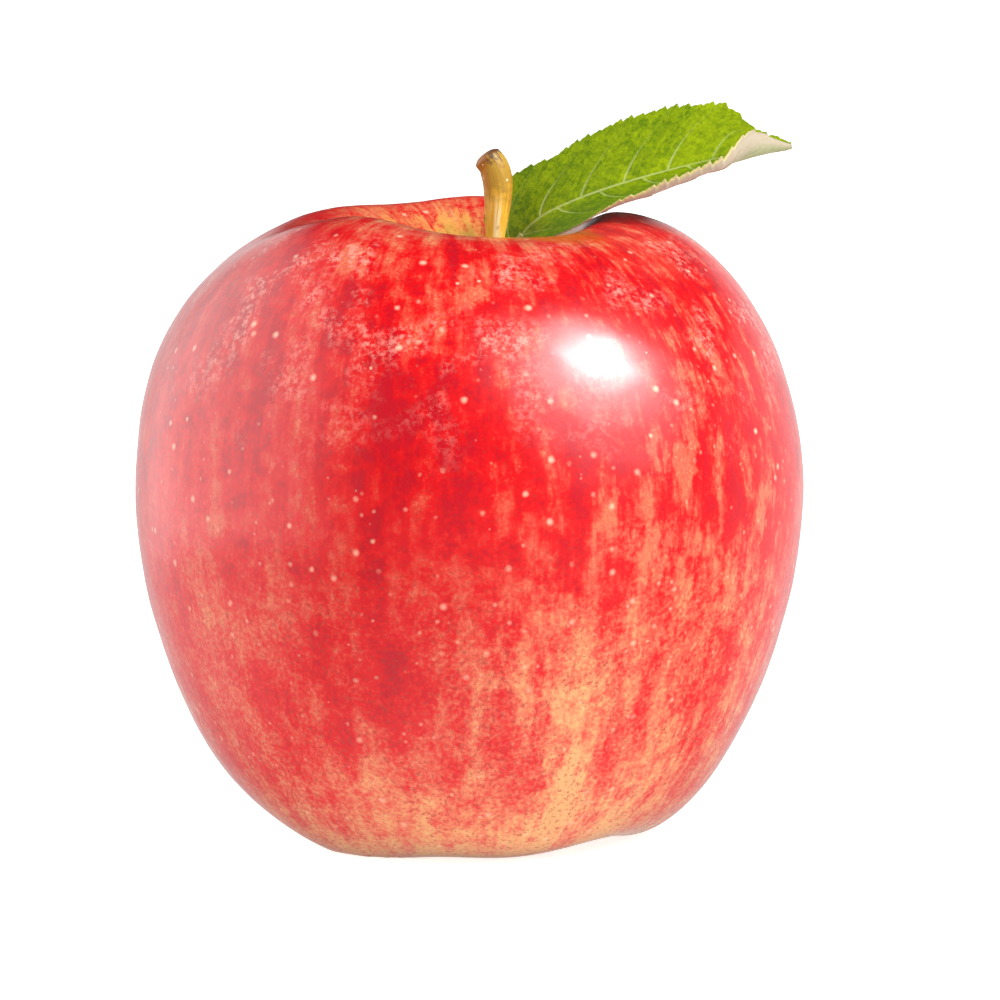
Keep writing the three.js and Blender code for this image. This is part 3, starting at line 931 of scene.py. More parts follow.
@dataclass(frozen=True)
class TableFinish:
    """A white light table, whose glow as the camera sees it is dimmer near the fruit: a painted contact
    shadow.
    """

    white: Colour = (0.93, 0.93, 0.93)
    off_white: Colour = (0.9, 0.9, 0.9)
    glow_in_painted_shadow: float = 0.84
    glow_seen: float = 1.05
    glow_cast: float = 0.37

    def material(self) -> bpy.types.Material:
        """Makes the material."""
        bench = FinishBench("table_white", Roughness=0.6, Emission_Color=rgba(self.white))
        colour = bench.over(rgba(self.white), self.off_white, bench.noise(bench.place(), 30.0))
        # Painted shadow: the glow the camera sees is dimmer close to the fruit, as a faint contact shadow.
        away = bench.vector("LENGTH", bench.place())
        shown = bench.smooth(away, 0.05, 0.6, self.glow_in_painted_shadow, self.glow_seen)
        seen = bench.add("ShaderNodeLightPath").outputs["Is Camera Ray"]
        glow = bench.smooth(seen, 0.0, 1.0, self.glow_cast, shown)
        return bench.dress(Base_Color=colour, Emission_Strength=glow)


# The studio


@dataclass(frozen=True)
class SoftBox:
    """A square, oblong or round studio light that points at the fruit.

    Attributes:
        name: Its name.
        direction: From the fruit to the light.
        distance: How far off it hangs.
        size: Its width and height.
        brightness: What it gives a white sheet that faces it.
        mirrored: Whether gloss shows it.
        shape: Its outline.
    """

    name: str
    direction: Point
    distance: float
    size: Span
    brightness: float
    mirrored: bool = True
    shape: LampShape = LampShape.BOX

    def hang(self, target: Vector) -> None:
        """Puts the light into the scene, out of the camera's sight."""
        light = bpy.data.lights.new(self.name, "AREA")
        light.shape = self.shape.value
        light.size, light.size_y = self.size
        light.energy = self.brightness * (math.pi * self.distance) ** 2
        lamp = add_object(self.name, light)
        towards = Vector(self.direction).normalized()
        lamp.location = target + towards * self.distance
        lamp.rotation_euler = towards.to_track_quat("Z", "Y").to_euler()
        lamp.visible_camera = False
        lamp.visible_glossy = self.mirrored


@dataclass(frozen=True)
class Studio:
    """The camera, the white table and the soft light round it."""

    target: Vector = Vector((3.48 * MM, -0.22 * MM, 38.1 * MM))
    elevation: float = 6.6
    distance: float = 0.6
    sensor: float = 36.0
    view_width: float = 113.94 * MM
    table_side: float = 24.0
    table_drop: float = 0.03 * MM
    backdrop: float = 0.75
    left_wall: float = 2.05
    left: Point = (-0.97, 0.2, 0.12)
    room: float = 0.03
    bounce: float = 0.5
    boxes: tuple[SoftBox, ...] = (
        SoftBox("key_box", (0.606, -0.323, 0.702), 0.7, (0.23, 0.21), 0.56),
        SoftBox("key_inner", (0.62, -0.4, 0.67), 0.73, (0.56, 0.56), 0.58, shape=LampShape.ROUND),
        SoftBox("key_diffuser", (0.635, -0.47, 0.61), 0.75, (0.86, 0.86), 0.54, shape=LampShape.ROUND),
        SoftBox("key_halo", (0.65, -0.47, 0.6), 0.77, (1.2, 1.2), 0.13, shape=LampShape.ROUND),
        SoftBox("front_fill", (-0.35, -0.9, 0.5), 1.6, (1.4, 1.0), 0.1, mirrored=False),
        SoftBox("left_fill", (-0.85, -0.2, 0.75), 1.4, (1.0, 0.8), 0.14, mirrored=False),
    )

    def place_camera(self) -> None:
        """Sets up the camera at the photograph's angle."""
        camera = bpy.data.cameras.new("camera")
        camera.sensor_width = self.sensor
        camera.lens = self.sensor * self.distance / self.view_width
        camera.clip_start = 0.01
        holder = add_object("camera", camera)
        tilt = math.radians(self.elevation)
        holder.location = self.target + Vector((0.0, -math.cos(tilt), math.sin(tilt))) * self.distance
        holder.rotation_euler = (math.pi / 2 - tilt, 0.0, 0.0)
        bpy.context.scene.camera = holder

    def lay_table(self) -> None:
        """Lays the white table under the fruit."""
        half = self.table_side / 2
        mesh = bpy.data.meshes.new("table")
        low = -self.table_drop
        corners = [(-half, -half, low), (half, -half, low), (half, half, low), (-half, half, low)]
        mesh.from_pydata(corners, [], [(0, 1, 2, 3)])
        mesh.materials.append(TableFinish().material())
        table = add_object("table", mesh)
        table.visible_glossy = False

    def light_room(self) -> None:
        """Lights the room: a bright backdrop behind the fruit and a dim room before it."""
        scene = bpy.context.scene
        scene.view_settings.view_transform = "Standard"
        scene.world = bpy.data.worlds.new("room")
        scene.world.use_nodes = True
        bench = NodeBench(scene.world.node_tree)
        direction = bench.add("ShaderNodeTexCoord").outputs["Generated"]
        across, depth, rise = bench.split(direction)
        # The backdrop's upper edge is low in its middle and rises to both sides.
        middle = bench.smooth(bench.math("ABSOLUTE", across), 0.14, 0.05, 0.0, 0.22)
        to_left = bench.smooth(across, 0.1, -0.5, 0.0, -0.5)
        to_right = bench.smooth(across, 0.02, 0.16, 0.0, -0.28)
        edge = bench.smooth(bench.total(rise, to_left, middle, to_right), 0.16, -0.06)
        dimmed = bench.smooth(rise, -0.6, -0.15, 0.45, 1.0)
        backdrop = bench.times(bench.smooth(depth, -0.1, 0.7), edge, dimmed, self.backdrop)
        floor = bench.smooth(rise, -0.25, -0.9, 0.0, self.bounce)
        leftward = bench.vector("DOT_PRODUCT", direction, self.left)
        wall = bench.smooth(leftward, 0.35, 1.02, 0.0, self.left_wall)
        wall = bench.times(wall, bench.smooth(rise, -0.27, -0.17, 0.5, 1.0))
        seen = bench.add("ShaderNodeLightPath").outputs["Is Camera Ray"]
        light = bench.most(backdrop, floor, wall, self.room, seen)
        bench.fill(bench.tree.nodes["Background"], Strength=light, Color=rgba((1.0, 1.0, 1.0)))
        for box in self.boxes:
            box.hang(self.target)

    def build(self) -> None:
        """Builds the whole studio."""
        self.place_camera()
        self.lay_table()
        self.light_room()


# The apple


@dataclass(frozen=True)
class Lobe:
    """One of the fruit's five ribs.

    Attributes:
        azimuth: Degrees from the front towards the right.
        shoulder: How strong it is at the shoulder.
        foot: How strong it is at the foot.
    """

    azimuth: float
    shoulder: float
    foot: float


@dataclass
class Fruit:
    """The fruit's skin, turned from its outline and raised into five lobes.

    Lengths are in metres. What is full, spread or risen is a share of the height or width it rounds off.
    """

    belly_radius: float = 38.0 * MM
    belly_height: float = 39.7 * MM
    crest_radius: float = 16.8 * MM
    height: float = 71.6 * MM
    foot_radius: float = 17.5 * MM
    cavity_depth: float = 15.0 * MM
    cavity_shift: float = 2.3 * MM
    basin_depth: float = 7.4 * MM
    shoulder_lean: float = -0.6 * MM
    stem_hole: float = 1.2 * MM
    stem_hole_depth: float = 5.0 * MM
    calyx_hole: float = 3.2 * MM
    calyx_hole_depth: float = 3.0 * MM
    funnel_spread: float = 0.2
    funnel_rise: float = 0.3
    crest_inner: float = 0.23
    shoulder_fullness: float = 0.57
    side_fullness: float = 0.53
    taper_fullness: float = 0.42
    foot_fullness: float = 0.52
    foot_inner: float = 0.3
    basin_spread: float = 0.2
    lobes: tuple[Lobe, ...] = (
        Lobe(-43.0, 0.86, 1.15),
        Lobe(16.0, 0.15, 0.85),
        Lobe(88.0, 0.78, 1.0),
        Lobe(173.0, 1.0, 0.95),
        Lobe(230.0, 0.72, 1.0),
    )
    lobe_tightness: float = 6.0
    shoulder_relief: float = 3.2 * MM
    shoulder_reach: float = 25.8 * MM
    foot_relief: float = 3.0 * MM
    foot_reach: float = 13.7 * MM
    relief_start: float = 0.2
    resting_flat: float = 0.22 * MM
    lump_height: float = 0.22 * MM
    lump_pitch: float = 11.0 * MM
    lumpy_radius: Span = (6.0 * MM, 14.0 * MM)
    lumpy_height: Span = (0.0, 8.0 * MM)
    sides: int = 384
    rows: int = 240

    def outline(self) -> bpy.types.Object:
        """Draws half the fruit's section, from the stem's hole over the side to the calyx's hole.

        Returns:
            A curve object in the XZ plane, to be removed after use.
        """
        floor = self.height - self.cavity_depth
        side = self.height - self.belly_height
        wide = self.belly_radius - self.crest_radius
        narrow = self.belly_radius - self.foot_radius
        crest, belly, foot = self.crest_radius, self.belly_radius, self.foot_radius
        knots = (
            ((0.0, floor - self.stem_hole_depth), None, None),
            ((self.stem_hole, floor - self.stem_hole_depth), None, None),
            (
                (self.stem_hole, floor),
                None,
                (self.stem_hole + self.funnel_spread * crest, floor + self.funnel_rise * self.cavity_depth),
            ),
            (
                (crest, self.height),
                (crest * (1 - self.crest_inner), self.height),
                (crest + self.shoulder_fullness * wide, self.height),
            ),
            (
                (belly, self.belly_height),
                (belly, self.belly_height + self.side_fullness * side),
                (belly, self.belly_height * (1 - self.taper_fullness)),
            ),
            (
                (foot, 0.0),
                (foot + self.foot_fullness * narrow, 0.0),
                (foot * (1 - self.foot_inner), 0.0),
            ),
            (
                (self.calyx_hole, self.basin_depth),
                (self.calyx_hole + self.basin_spread * foot, self.basin_depth),
                None,
            ),
            ((self.calyx_hole, self.basin_depth + self.calyx_hole_depth), None, None),
            ((0.0, self.basin_depth + self.calyx_hole_depth), None, None),
        )
        curve = bpy.data.curves.new("fruit_outline", "CURVE")
        curve.dimensions = "3D"
        curve.resolution_u = 40
        spline = curve.splines.new("BEZIER")
        spline.bezier_points.add(len(knots) - 1)
        for knot, (place, before, after) in zip(spline.bezier_points, knots):
            knot.co = (place[0], 0.0, place[1])
            knot.handle_left_type = "FREE" if before else "VECTOR"
            knot.handle_right_type = "FREE" if after else "VECTOR"
            if before:
                knot.handle_left = (before[0], 0.0, before[1])
            if after:
                knot.handle_right = (after[0], 0.0, after[1])
        return add_object("fruit_outline", curve)

    def valley(self, tree: GrowthTree, turn: Socket, end: End) -> Socket:
        """How deep the valley between the lobes is.

        Args:
            tree: The fruit's tree.
            turn: The azimuth in radians.
            end: Which of the lobes' strengths counts.

        Returns:
            0 on a lobe of strength 1, and up to 1 between the lobes.
        """
        tightness = tree.size(f"Lobe Tightness {end.value}", self.lobe_tightness)
        depth: Feed = 1.0
        for number, lobe in enumerate(self.lobes, 1):
            middle = tree.size(f"Lobe {number} Azimuth {end.value}", math.radians(lobe.azimuth))
            strength = tree.size(f"Lobe {number} Strength {end.value}", getattr(lobe, end.value))
            off = tree.math("SUBTRACT", tree.math("COSINE", tree.math("SUBTRACT", turn, middle)), 1.0)
            ridge = tree.math("EXPONENT", tree.times(off, tightness))
            depth = tree.math("SUBTRACT", depth, tree.times(ridge, strength))
        return depth

    def lobed(self, tree: GrowthTree, turn: Socket, radius: Socket, height: Socket) -> Socket:
        """Turns a point of the round fruit into one of the lobed fruit.

        Args:
            tree: The fruit's tree.
            turn: The point's azimuth in radians.
            radius: Its distance from the axis.
            height: Its height.

        Returns:
            The point's place.
        """
        crest = tree.size("Crest Radius", self.crest_radius)
        foot_radius = tree.size("Foot Radius", self.foot_radius)
        belly = tree.size("Belly Height", self.belly_height)
        top = tree.size("Height", self.height)
        start = tree.size("Relief Start", self.relief_start)
        upper = tree.math("GREATER_THAN", height, belly)
        rim = tree.math("MULTIPLY_ADD", upper, tree.math("SUBTRACT", crest, foot_radius), foot_radius)
        out = tree.smooth(radius, tree.times(start, rim), rim)
        reach = tree.math("SUBTRACT", top, tree.size("Shoulder Reach", self.shoulder_reach))
        shoulder = tree.times(out, tree.smooth(height, reach, top))
        low = tree.math("DIVIDE", height, tree.size("Foot Reach", self.foot_reach))
        low = tree.most(tree.math("SUBTRACT", 1.0, low), 0.0)
        foot = tree.times(out, tree.times(low, low))
        lean = tree.smooth(height, belly, top, 0.0, tree.size("Shoulder Lean", self.shoulder_lean))
        shift = tree.size("Cavity Shift", self.cavity_shift)
        aside = tree.math("MULTIPLY_ADD", out, tree.math("SUBTRACT", lean, shift), shift)
        down = tree.times(self.valley(tree, turn, End.SHOULDER), shoulder)
        down = tree.times(down, tree.size("Shoulder Relief", self.shoulder_relief))
        rise = tree.times(self.valley(tree, turn, End.FOOT), tree.size("Foot Relief", self.foot_relief))
        rise = tree.math("SUBTRACT", rise, tree.size("Resting Flat", self.resting_flat))
        lifted = tree.math("SUBTRACT", tree.math("MULTIPLY_ADD", rise, foot, height), down)
        x = tree.math("MULTIPLY_ADD", radius, tree.math("SINE", turn), tree.times(upper, aside))
        y = tree.times(radius, tree.times(tree.math("COSINE", turn), -1.0))
        return tree.combine(x, y, tree.most(lifted, 0.0))

    def build(self) -> None:
        """Grows the skin and dresses it."""
        outline = self.outline()
        tree = GrowthTree("fruit_growth")
        grid, turn, share = tree.turned_grid(self.sides, self.rows)
        around = tree.combine(tree.math("SINE", turn), tree.times(tree.math("COSINE", turn), -1.0), share)
        grid = tree.stored(grid, "meridian", around)
        section = tree.sampled(tree.shape("Outline", outline), Factor=share)
        radius, _, height = tree.split(section.outputs["Position"])
        skin = tree.moved(grid, Position=self.lobed(tree, turn, radius, height))
        place = tree.add("GeometryNodeInputPosition").outputs[0]
        lumps = tree.noise(place, 1.0 / self.lump_pitch, 2.0)
        x, y, z = tree.split(place)
        level = tree.combine(x, y, 0.0)
        lumpy = tree.smooth(tree.vector("LENGTH", level), *self.lumpy_radius)
        lumpy = tree.times(lumpy, tree.smooth(z, *self.lumpy_height))
        rise = tree.times(tree.swing(lumps, tree.size("Lump Height", self.lump_height)), lumpy)
        normal = tree.add("GeometryNodeInputNormal").outputs[0]
        outward = tree.math("SIGN", tree.vector("DOT_PRODUCT", normal, level))
        skin = tree.moved(skin, Offset=tree.scaled(normal, tree.times(rise, outward)))
        tree.close(skin, SkinFinish().material())
        settle(tree.grow("fruit_skin"), "fruit")
        discard(outline)


@dataclass(frozen=True)
class Ribs:
    """Fine lengthwise ribs of a turned piece.

    Attributes:
        depth: How high they are.
        round_scale: How many there are over one radius.
        along_scale: How often they change over the whole outline.
    """

    depth: float
    round_scale: float
    along_scale: float


class TurnedTree(GrowthTree):
    """Turns an outline round a path, and can raise fine ribs along it."""

    def __init__(
        self, name: str, path: bpy.types.Object, outline: bpy.types.Object, sides: int, rows: int
    ) -> None:
        """Lays out the tree up to the turned mesh.

        Args:
            name: The tree's name.
            path: A line that the piece follows.
            outline: A line in the XZ plane: x is the radius, and z is how far along the path.
            sides: How many faces go round.
            rows: How many faces follow the outline.
        """
        super().__init__(name)
        grid, turn, share = self.turned_grid(sides, rows)
        around = self.combine(self.math("SINE", turn), self.math("COSINE", turn), share)
        grid = self.stored(grid, "turned", around)
        section = self.sampled(self.shape("Outline", outline), Factor=share)
        radius, _, length = self.split(section.outputs["Position"])
        station = self.sampled(self.shape("Path", path), Length=length)
        normal = station.outputs["Normal"]
        beside = self.vector("CROSS_PRODUCT", station.outputs["Tangent"], normal)
        ray = self.vector(
            "ADD",
            self.scaled(normal, self.math("COSINE", turn)),
            self.scaled(beside, self.math("SINE", turn)),
        )
        place = self.vector("ADD", station.outputs["Position"], self.scaled(ray, radius))
        self.mesh = self.moved(grid, Position=place)

    def roughen(self, ribs: Ribs) -> None:
        """Raises fine lengthwise ribs on the mesh."""
        kept = self.add("GeometryNodeInputNamedAttribute", data_type="FLOAT_VECTOR")
        turned = self.fill(kept, Name="turned").outputs[0]
        relief = self.noise(self.stretched(turned, ribs.round_scale, ribs.along_scale), 1.0, 3.0, 0.6)
        height = self.swing(relief, self.size("Rib Depth", ribs.depth))
        normal = self.add("GeometryNodeInputNormal").outputs[0]
        self.mesh = self.moved(self.mesh, Offset=self.scaled(normal, height))


def turned_piece(
    name: str,
    line: np.ndarray,
    outline: np.ndarray,
    faces: tuple[int, int],
    finish: bpy.types.Material,
    ribs: Ribs | None = None,
) -> bpy.types.Object:
    """Grows a piece by turning an outline round a line.

    Args:
        name: The piece's name.
        line: Points that the piece follows.
        outline: Points in the XZ plane: x is the radius, and z is how far along the line.
        faces: How many faces go round, and how many follow the outline.
        finish: The piece's material.
        ribs: The ribs that are raised on it, where it has any.

    Returns:
        A plain mesh object.
    """
    path = line_object(f"{name}_path", [line])
    section = line_object(f"{name}_outline", [outline])
    tree = TurnedTree(f"{name}_growth", path, section, *faces)
    if ribs:
        tree.roughen(ribs)
    tree.close(tree.mesh, finish)
    piece = tree.grow(name)
    discard(path, section)
    return piece


@dataclass
class Stem:
    """The woody stem, which leans out of the funnel and bends to the left at its head.

    Lengths are in metres, and the flare begins and ends at shares of the stem's length.
    """

    route: Route = Route(
        (
            (2.3, 0.0, 51.9),
            (2.3, 0.0, 56.6),
            (2.6, 0.0, 64.5),
            (2.95, 0.0, 68.3),
            (3.25, 0.0, 72.4),
            (3.2, 0.0, 74.4),
            (2.75, 0.0, 76.1),
            (2.0, 0.0, 77.1),
        )
    )
    foot_radius: float = 0.9 * MM
    head_radius: float = 1.72 * MM
    flare_from: float = 0.5
    flare_to: float = 0.92
    scar_rounding: float = 0.1 * MM
    scar_dome: float = 0.5 * MM
    ribs: Ribs = Ribs(0.07 * MM, 3.2, 7.0)
    faces: tuple[int, int] = (72, 200)

    def outline(self) -> np.ndarray:
        """The stem's radius along its length, with its flat closed foot and its rounded, bulging scar."""
        length = self.route.length()
        share = np.linspace(0.0, 1.0, 80)
        flare = (self.head_radius - self.foot_radius) * smoothstep(share, self.flare_from, self.flare_to)
        radius = self.foot_radius + flare - self.scar_rounding * smoothstep(share, self.flare_to, 1.0)
        side = np.stack((radius, share * length), -1)
        inward = np.linspace(0.99, 0.0, 16)
        end = np.stack((radius[-1] * inward, length + self.scar_dome * (1.0 - inward**3)), -1)
        section = np.vstack(([(0.0, 0.0)], side, end))
        return np.stack((section[:, 0], np.zeros(len(section)), section[:, 1]), -1)

    def build(self) -> None:
        """Grows the stem and dresses it."""
        line = self.route.dense()
        top = line[-1] + unit(line[-1] - line[-2]) * self.scar_dome
        path = np.vstack((line, top))
        finish = BarkFinish().material()
        stem = turned_piece("stem_bark", path, self.outline(), self.faces, finish, self.ribs)
        settle(stem, "stem")


@dataclass
class Leaf:
    """The leaf: a folded, toothed blade whose tip rolls up, its raised veins, and a short stalk.

    Lengths are in metres and bends in degrees. Spans are shares of the blade's length, and those of
    its grooves, edge and rim are shares of the way from the rib to the margin.
    """

    route: Route = Route(
        (
            (4.6, 2.1, 65.0),
            (6.2, 1.6, 68.4),
            (8.4, 1.0, 70.4),
            (12.5, 0.2, 72.4),
            (19.2, -0.8, 74.7),
            (29.0, -1.6, 77.2),
            (36.4, -2.0, 78.4),
        )
    )
    stalk_foot: Point = (4.3, 2.3, 61.6)
    stalk_radius: float = 0.62 * MM
    stalk_flare: float = 1.15
    stalk_taper: float = 0.8
    stalk_ribs: Ribs = Ribs(0.04 * MM, 2.0, 4.0)
    stalk_faces: tuple[int, int] = (32, 60)
    half_width: float = 8.1 * MM
    base_roundness: float = 0.7
    tip_roundness: float = 0.5
    tip_start: dict[Half, float] = field(default_factory=lambda: {Half.FAR: 0.8, Half.NEAR: 0.86})
    ear: float = 2.8 * MM
    ear_begins: Span = (0.0, 0.08)
    ear_ends: Span = (0.08, 0.3)
    tip_length: float = 0.14
    tip_width: float = 0.4
    far_bend: float = -50.0
    far_curl: float = -12.0
    near_bend: float = -31.0
    levelling: float = 14.0
    levels: Span = (0.15, 0.5)
    lift: float = 8.0
    lifts: Span = (0.5, 0.8)
    near_curl: float = 14.0
    tip_roll: float = 120.0
    rolls: Span = (0.77, 0.94)
    curl_power: float = 1.2
    margin_turn: float = 60.0
    margin_turns: Span = (0.3, 0.6)
    margin_edge: Span = (0.84, 1.0)
    fold_spread: float = 0.16
    thickness: float = 0.42 * MM
    margin_thickness: float = 0.16 * MM
    rib_groove: float = 0.12 * MM
    rib_width: float = 0.06
    vein_groove: float = 0.07 * MM
    vein_width: float = 0.35
    grooves_begin: Span = (0.03, 0.15)
    grooves_end: Span = (0.75, 1.0)
    under_relief: float = 0.6
    teeth: int = 28
    steps_per_tooth: int = 10
    tooth_depth: float = 0.5 * MM
    second_tooth: float = 0.35
    teeth_begin: Span = (0.03, 0.12)
    teeth_end: Span = (0.9, 1.0)
    tooth_rim: Span = (0.8, 1.0)
    rows: int = 120
    veins: int = 7
    vein_run: float = 0.2
    vein_bend: float = 1.5
    vein_start: dict[Half, float] = field(default_factory=lambda: {Half.FAR: 0.26, Half.NEAR: -0.3})
    vein_zone: Span = (0.08, 0.97)
    vein_reach: float = 0.9
    vein_radius: float = 0.2 * MM
    vein_taper: float = 0.75
    rib_reach: float = 0.985
    rib_radius: float = 0.55 * MM
    rib_taper: float = 0.8
    sunk: float = 0.6

    def half_widths(self, along: np.ndarray, half: Half) -> np.ndarray:
        """The blade's width from the rib to one margin, at shares of its length."""
        curve = along**self.base_roundness * (1.0 - along) ** self.tip_roundness
        widest = self.base_roundness / (self.base_roundness + self.tip_roundness)
        peak = widest**self.base_roundness * (1.0 - widest) ** self.tip_roundness
        start = self.tip_start[half]
        narrowed = 1.0 - (1.0 - self.tip_width) * smoothstep(along, start, start + self.tip_length)
        ear = self.ear * smoothstep(along, *self.ear_begins) * (1.0 - smoothstep(along, *self.ear_ends))
        width = np.maximum(self.half_width * narrowed * curve / peak, self.stalk_radius)
        return width + ear if half is Half.FAR else width

    def slope(self, along: np.ndarray, across: np.ndarray) -> np.ndarray:
        """The blade's slope across its width.

        Args:
            along: Share of the length.
            across: From -1 at the far margin to 1 at the near one.

        Returns:
            Radians above the line to the front.
        """
        level = self.levelling * smoothstep(along, *self.levels)
        level = level + self.lift * smoothstep(along, *self.lifts)
        curl = self.near_curl + (self.tip_roll - self.near_curl) * smoothstep(along, *self.rolls)
        far = self.far_bend + self.far_curl * np.maximum(-across, 0.0)
        near = self.near_bend + level + curl * np.maximum(across, 0.0) ** self.curl_power
        turned = smoothstep(across, *self.margin_edge) * smoothstep(along, *self.margin_turns)
        near = near + self.margin_turn * turned
        fold = 0.5 + 0.5 * np.tanh(across / self.fold_spread)
        return np.radians(far + (near - far) * fold)

    def surface(self, along: np.ndarray, across: np.ndarray, toothed: bool = True) -> np.ndarray:
        """Points of the blade's middle.

        Args:
            along: Shares of the length.
            across: Places across, from -1 to 1, in an array of the same shape.
            toothed: Whether the margin has its teeth.

        Returns:
            The points, with one more axis than along.
        """
        middle, tangent = self.route.at(along)
        above = unit(np.cross(tangent, (0.0, 1.0, 0.0)))
        front = np.cross(tangent, above)
        width = np.where(across < 0, self.half_widths(along, Half.FAR), self.half_widths(along, Half.NEAR))
        steps = 24
        run, rise = np.zeros_like(along), np.zeros_like(along)
        for step in range(steps):
            slope = self.slope(along, across * (step + 0.5) / steps)
            run += np.cos(slope) * across / steps * width
            rise += np.sin(slope) * across / steps * width
        if toothed:
            slope = self.slope(along, across)
            shown = smoothstep(along, *self.teeth_begin) * (1.0 - smoothstep(along, *self.teeth_end))
            count = along * self.teeth
            own = np.abs(np.sin(2.4 * np.floor(count) + np.sign(across)))
            form = count % 1.0 + self.second_tooth * (2.0 * count % 1.0)
            tooth = form * (0.35 + 0.8 * own) * (0.35 + 0.75 * along) * shown
            out = np.sign(across) * smoothstep(np.abs(across), *self.tooth_rim) * self.tooth_depth * tooth
            run, rise = run + np.cos(slope) * out, rise + np.sin(slope) * out
        return middle + front * run[..., None] + above * rise[..., None]

    def phase(self, along: np.ndarray, across: np.ndarray) -> np.ndarray:
        """Counts the side veins: a whole number on each vein, and halves between them."""
        start = np.where(across < 0, self.vein_start[Half.FAR], self.vein_start[Half.NEAR])
        return self.veins * (along - self.vein_run * np.abs(across) ** self.vein_bend) - start

    def half_thickness(self, across: np.ndarray) -> np.ndarray:
        """Half the blade's thickness, which is less towards its margins."""
        return 0.5 * (self.margin_thickness + (self.thickness - self.margin_thickness) * (1.0 - across**4))

    def blade(self) -> bpy.types.Object:
        """Makes the blade from the rule of its surface."""
        columns = np.linspace(0.0, 1.0, self.teeth * self.steps_per_tooth + 1)
        # Each tooth's point is just before its step back.
        columns[1:-1] -= 1e-6
        rows = np.linspace(-1.0, 1.0, self.rows + 1)
        along, across = np.meshgrid(columns, rows)
        middle = self.surface(along, across)
        bare = self.surface(along, across, toothed=False)
        normal = unit(np.cross(np.gradient(bare, axis=0), np.gradient(bare, axis=1)))
        phase = self.phase(along, across)
        near_vein = 2.0 * np.abs(phase - np.round(phase))
        vein = np.exp(-((near_vein / self.vein_width) ** 2))
        rib = np.exp(-((across / self.rib_width) ** 2))
        aside = np.abs(across)
        side = smoothstep(aside, *self.grooves_begin) * (1.0 - smoothstep(aside, *self.grooves_end))
        relief = -self.vein_groove * vein * side - self.rib_groove * rib
        half = self.half_thickness(across)
        upper = middle + normal * (half + relief)[..., None]
        lower = middle - normal * (half - self.under_relief * relief)[..., None]
        mesh = sheet_mesh("leaf_blade", upper, lower)
        kept = np.tile(np.stack((along, across, phase), -1).reshape(-1, 3), (2, 1))
        mesh.attributes.new("blade", "FLOAT_VECTOR", "POINT").data.foreach_set("vector", kept.ravel())
        mesh.materials.append(BladeFinish().material())
        mesh.materials.append(UndersideFinish().material())
        return add_object("leaf_blade", mesh)

    def vein_lines(self) -> tuple[list[np.ndarray], list[np.ndarray]]:
        """Where the veins run under the blade, and how thick they are."""
        share = np.linspace(0.0, 1.0, 60)
        radii = [self.rib_radius * (1.0 - self.rib_taper * share)]
        lines = [self.under(self.rib_reach * share, np.zeros_like(share), radii[0])]
        for half in Half:
            first = math.ceil(-self.vein_start[half])
            for number in range(first, self.veins):
                start = (number + self.vein_start[half]) / self.veins
                out = np.linspace(0.0, self.vein_reach, 40)
                along = start + self.vein_run * out**self.vein_bend
                if start < self.vein_zone[0] or along[-1] > self.vein_zone[1]:
                    continue
                radii.append(self.vein_radius * (1.0 - self.vein_taper * out))
                lines.append(self.under(along, out * half.value, radii[-1]))
        return lines, radii

    def under(self, along: np.ndarray, across: np.ndarray, radius: np.ndarray) -> np.ndarray:
        """The middle of a vein of this radius, which stands out under the blade's lower face."""
        step = 1e-3
        bare = self.surface(along, across, toothed=False)
        ahead = self.surface(np.minimum(along + step, 1.0), across, toothed=False) - bare
        aside = self.surface(along, across + step, toothed=False) - bare
        depth = self.half_thickness(across) + self.sunk * radius
        return bare - unit(np.cross(aside, ahead)) * depth[:, None]

    def grow_veins(self) -> None:
        """Grows the raised veins under the blade."""
        drawn = line_object("vein_lines", *self.vein_lines())
        tree = GrowthTree("vein_growth")
        circle = tree.add("GeometryNodeCurvePrimitiveCircle")
        tree.fill(circle, Resolution=tree.size("Sides", 8), Radius=1.0)
        tube = tree.fill(
            tree.add("GeometryNodeCurveToMesh"),
            Curve=tree.shape("Lines", drawn),
            Profile_Curve=circle.outputs[0],
            Scale=tree.add("GeometryNodeInputRadius").outputs[0],
            Fill_Caps=True,
        )
        finish = DriedFinish("leaf_vein", dark=(0.34, 0.3, 0.14), light=(0.6, 0.53, 0.34))
        tree.close(tube.outputs[0], finish.material())
        settle(tree.grow("leaf_veins"), "leaf")
        discard(drawn)

    def grow_stalk(self) -> None:
        """Grows the stalk, which runs on into the blade's rib."""
        base, _ = self.route.at(np.array([0.0, 0.1]))
        stalk = Route((self.stalk_foot, *(tuple(p / MM) for p in base)))
        share = np.linspace(0.0, 1.0, 30)
        radii = self.stalk_radius * (self.stalk_flare + (self.stalk_taper - self.stalk_flare) * share)
        outline = rod_outline(radii, stalk.length())
        # The stalk's material keeps the stem's painted shade at the sides and painted highlight strip, in
        # its own colours.
        finish = BarkFinish(
            name="stalk_bark",
            green=(0.5, 0.5, 0.16),
            gold=(0.5, 0.52, 0.2),
            pale=(0.6, 0.6, 0.3),
            olive=(0.45, 0.5, 0.16),
            brown=(0.32, 0.24, 0.08),
            scar=(0.4, 0.45, 0.15),
        ).material()
        path = stalk.dense()
        piece = turned_piece("leaf_stalk", path, outline, self.stalk_faces, finish, self.stalk_ribs)
        settle(piece, "leaf")

    def build(self) -> None:
        """Makes the blade, its veins and its stalk, and dresses them."""
        settle(self.blade(), "leaf")
        self.grow_veins()
        self.grow_stalk()


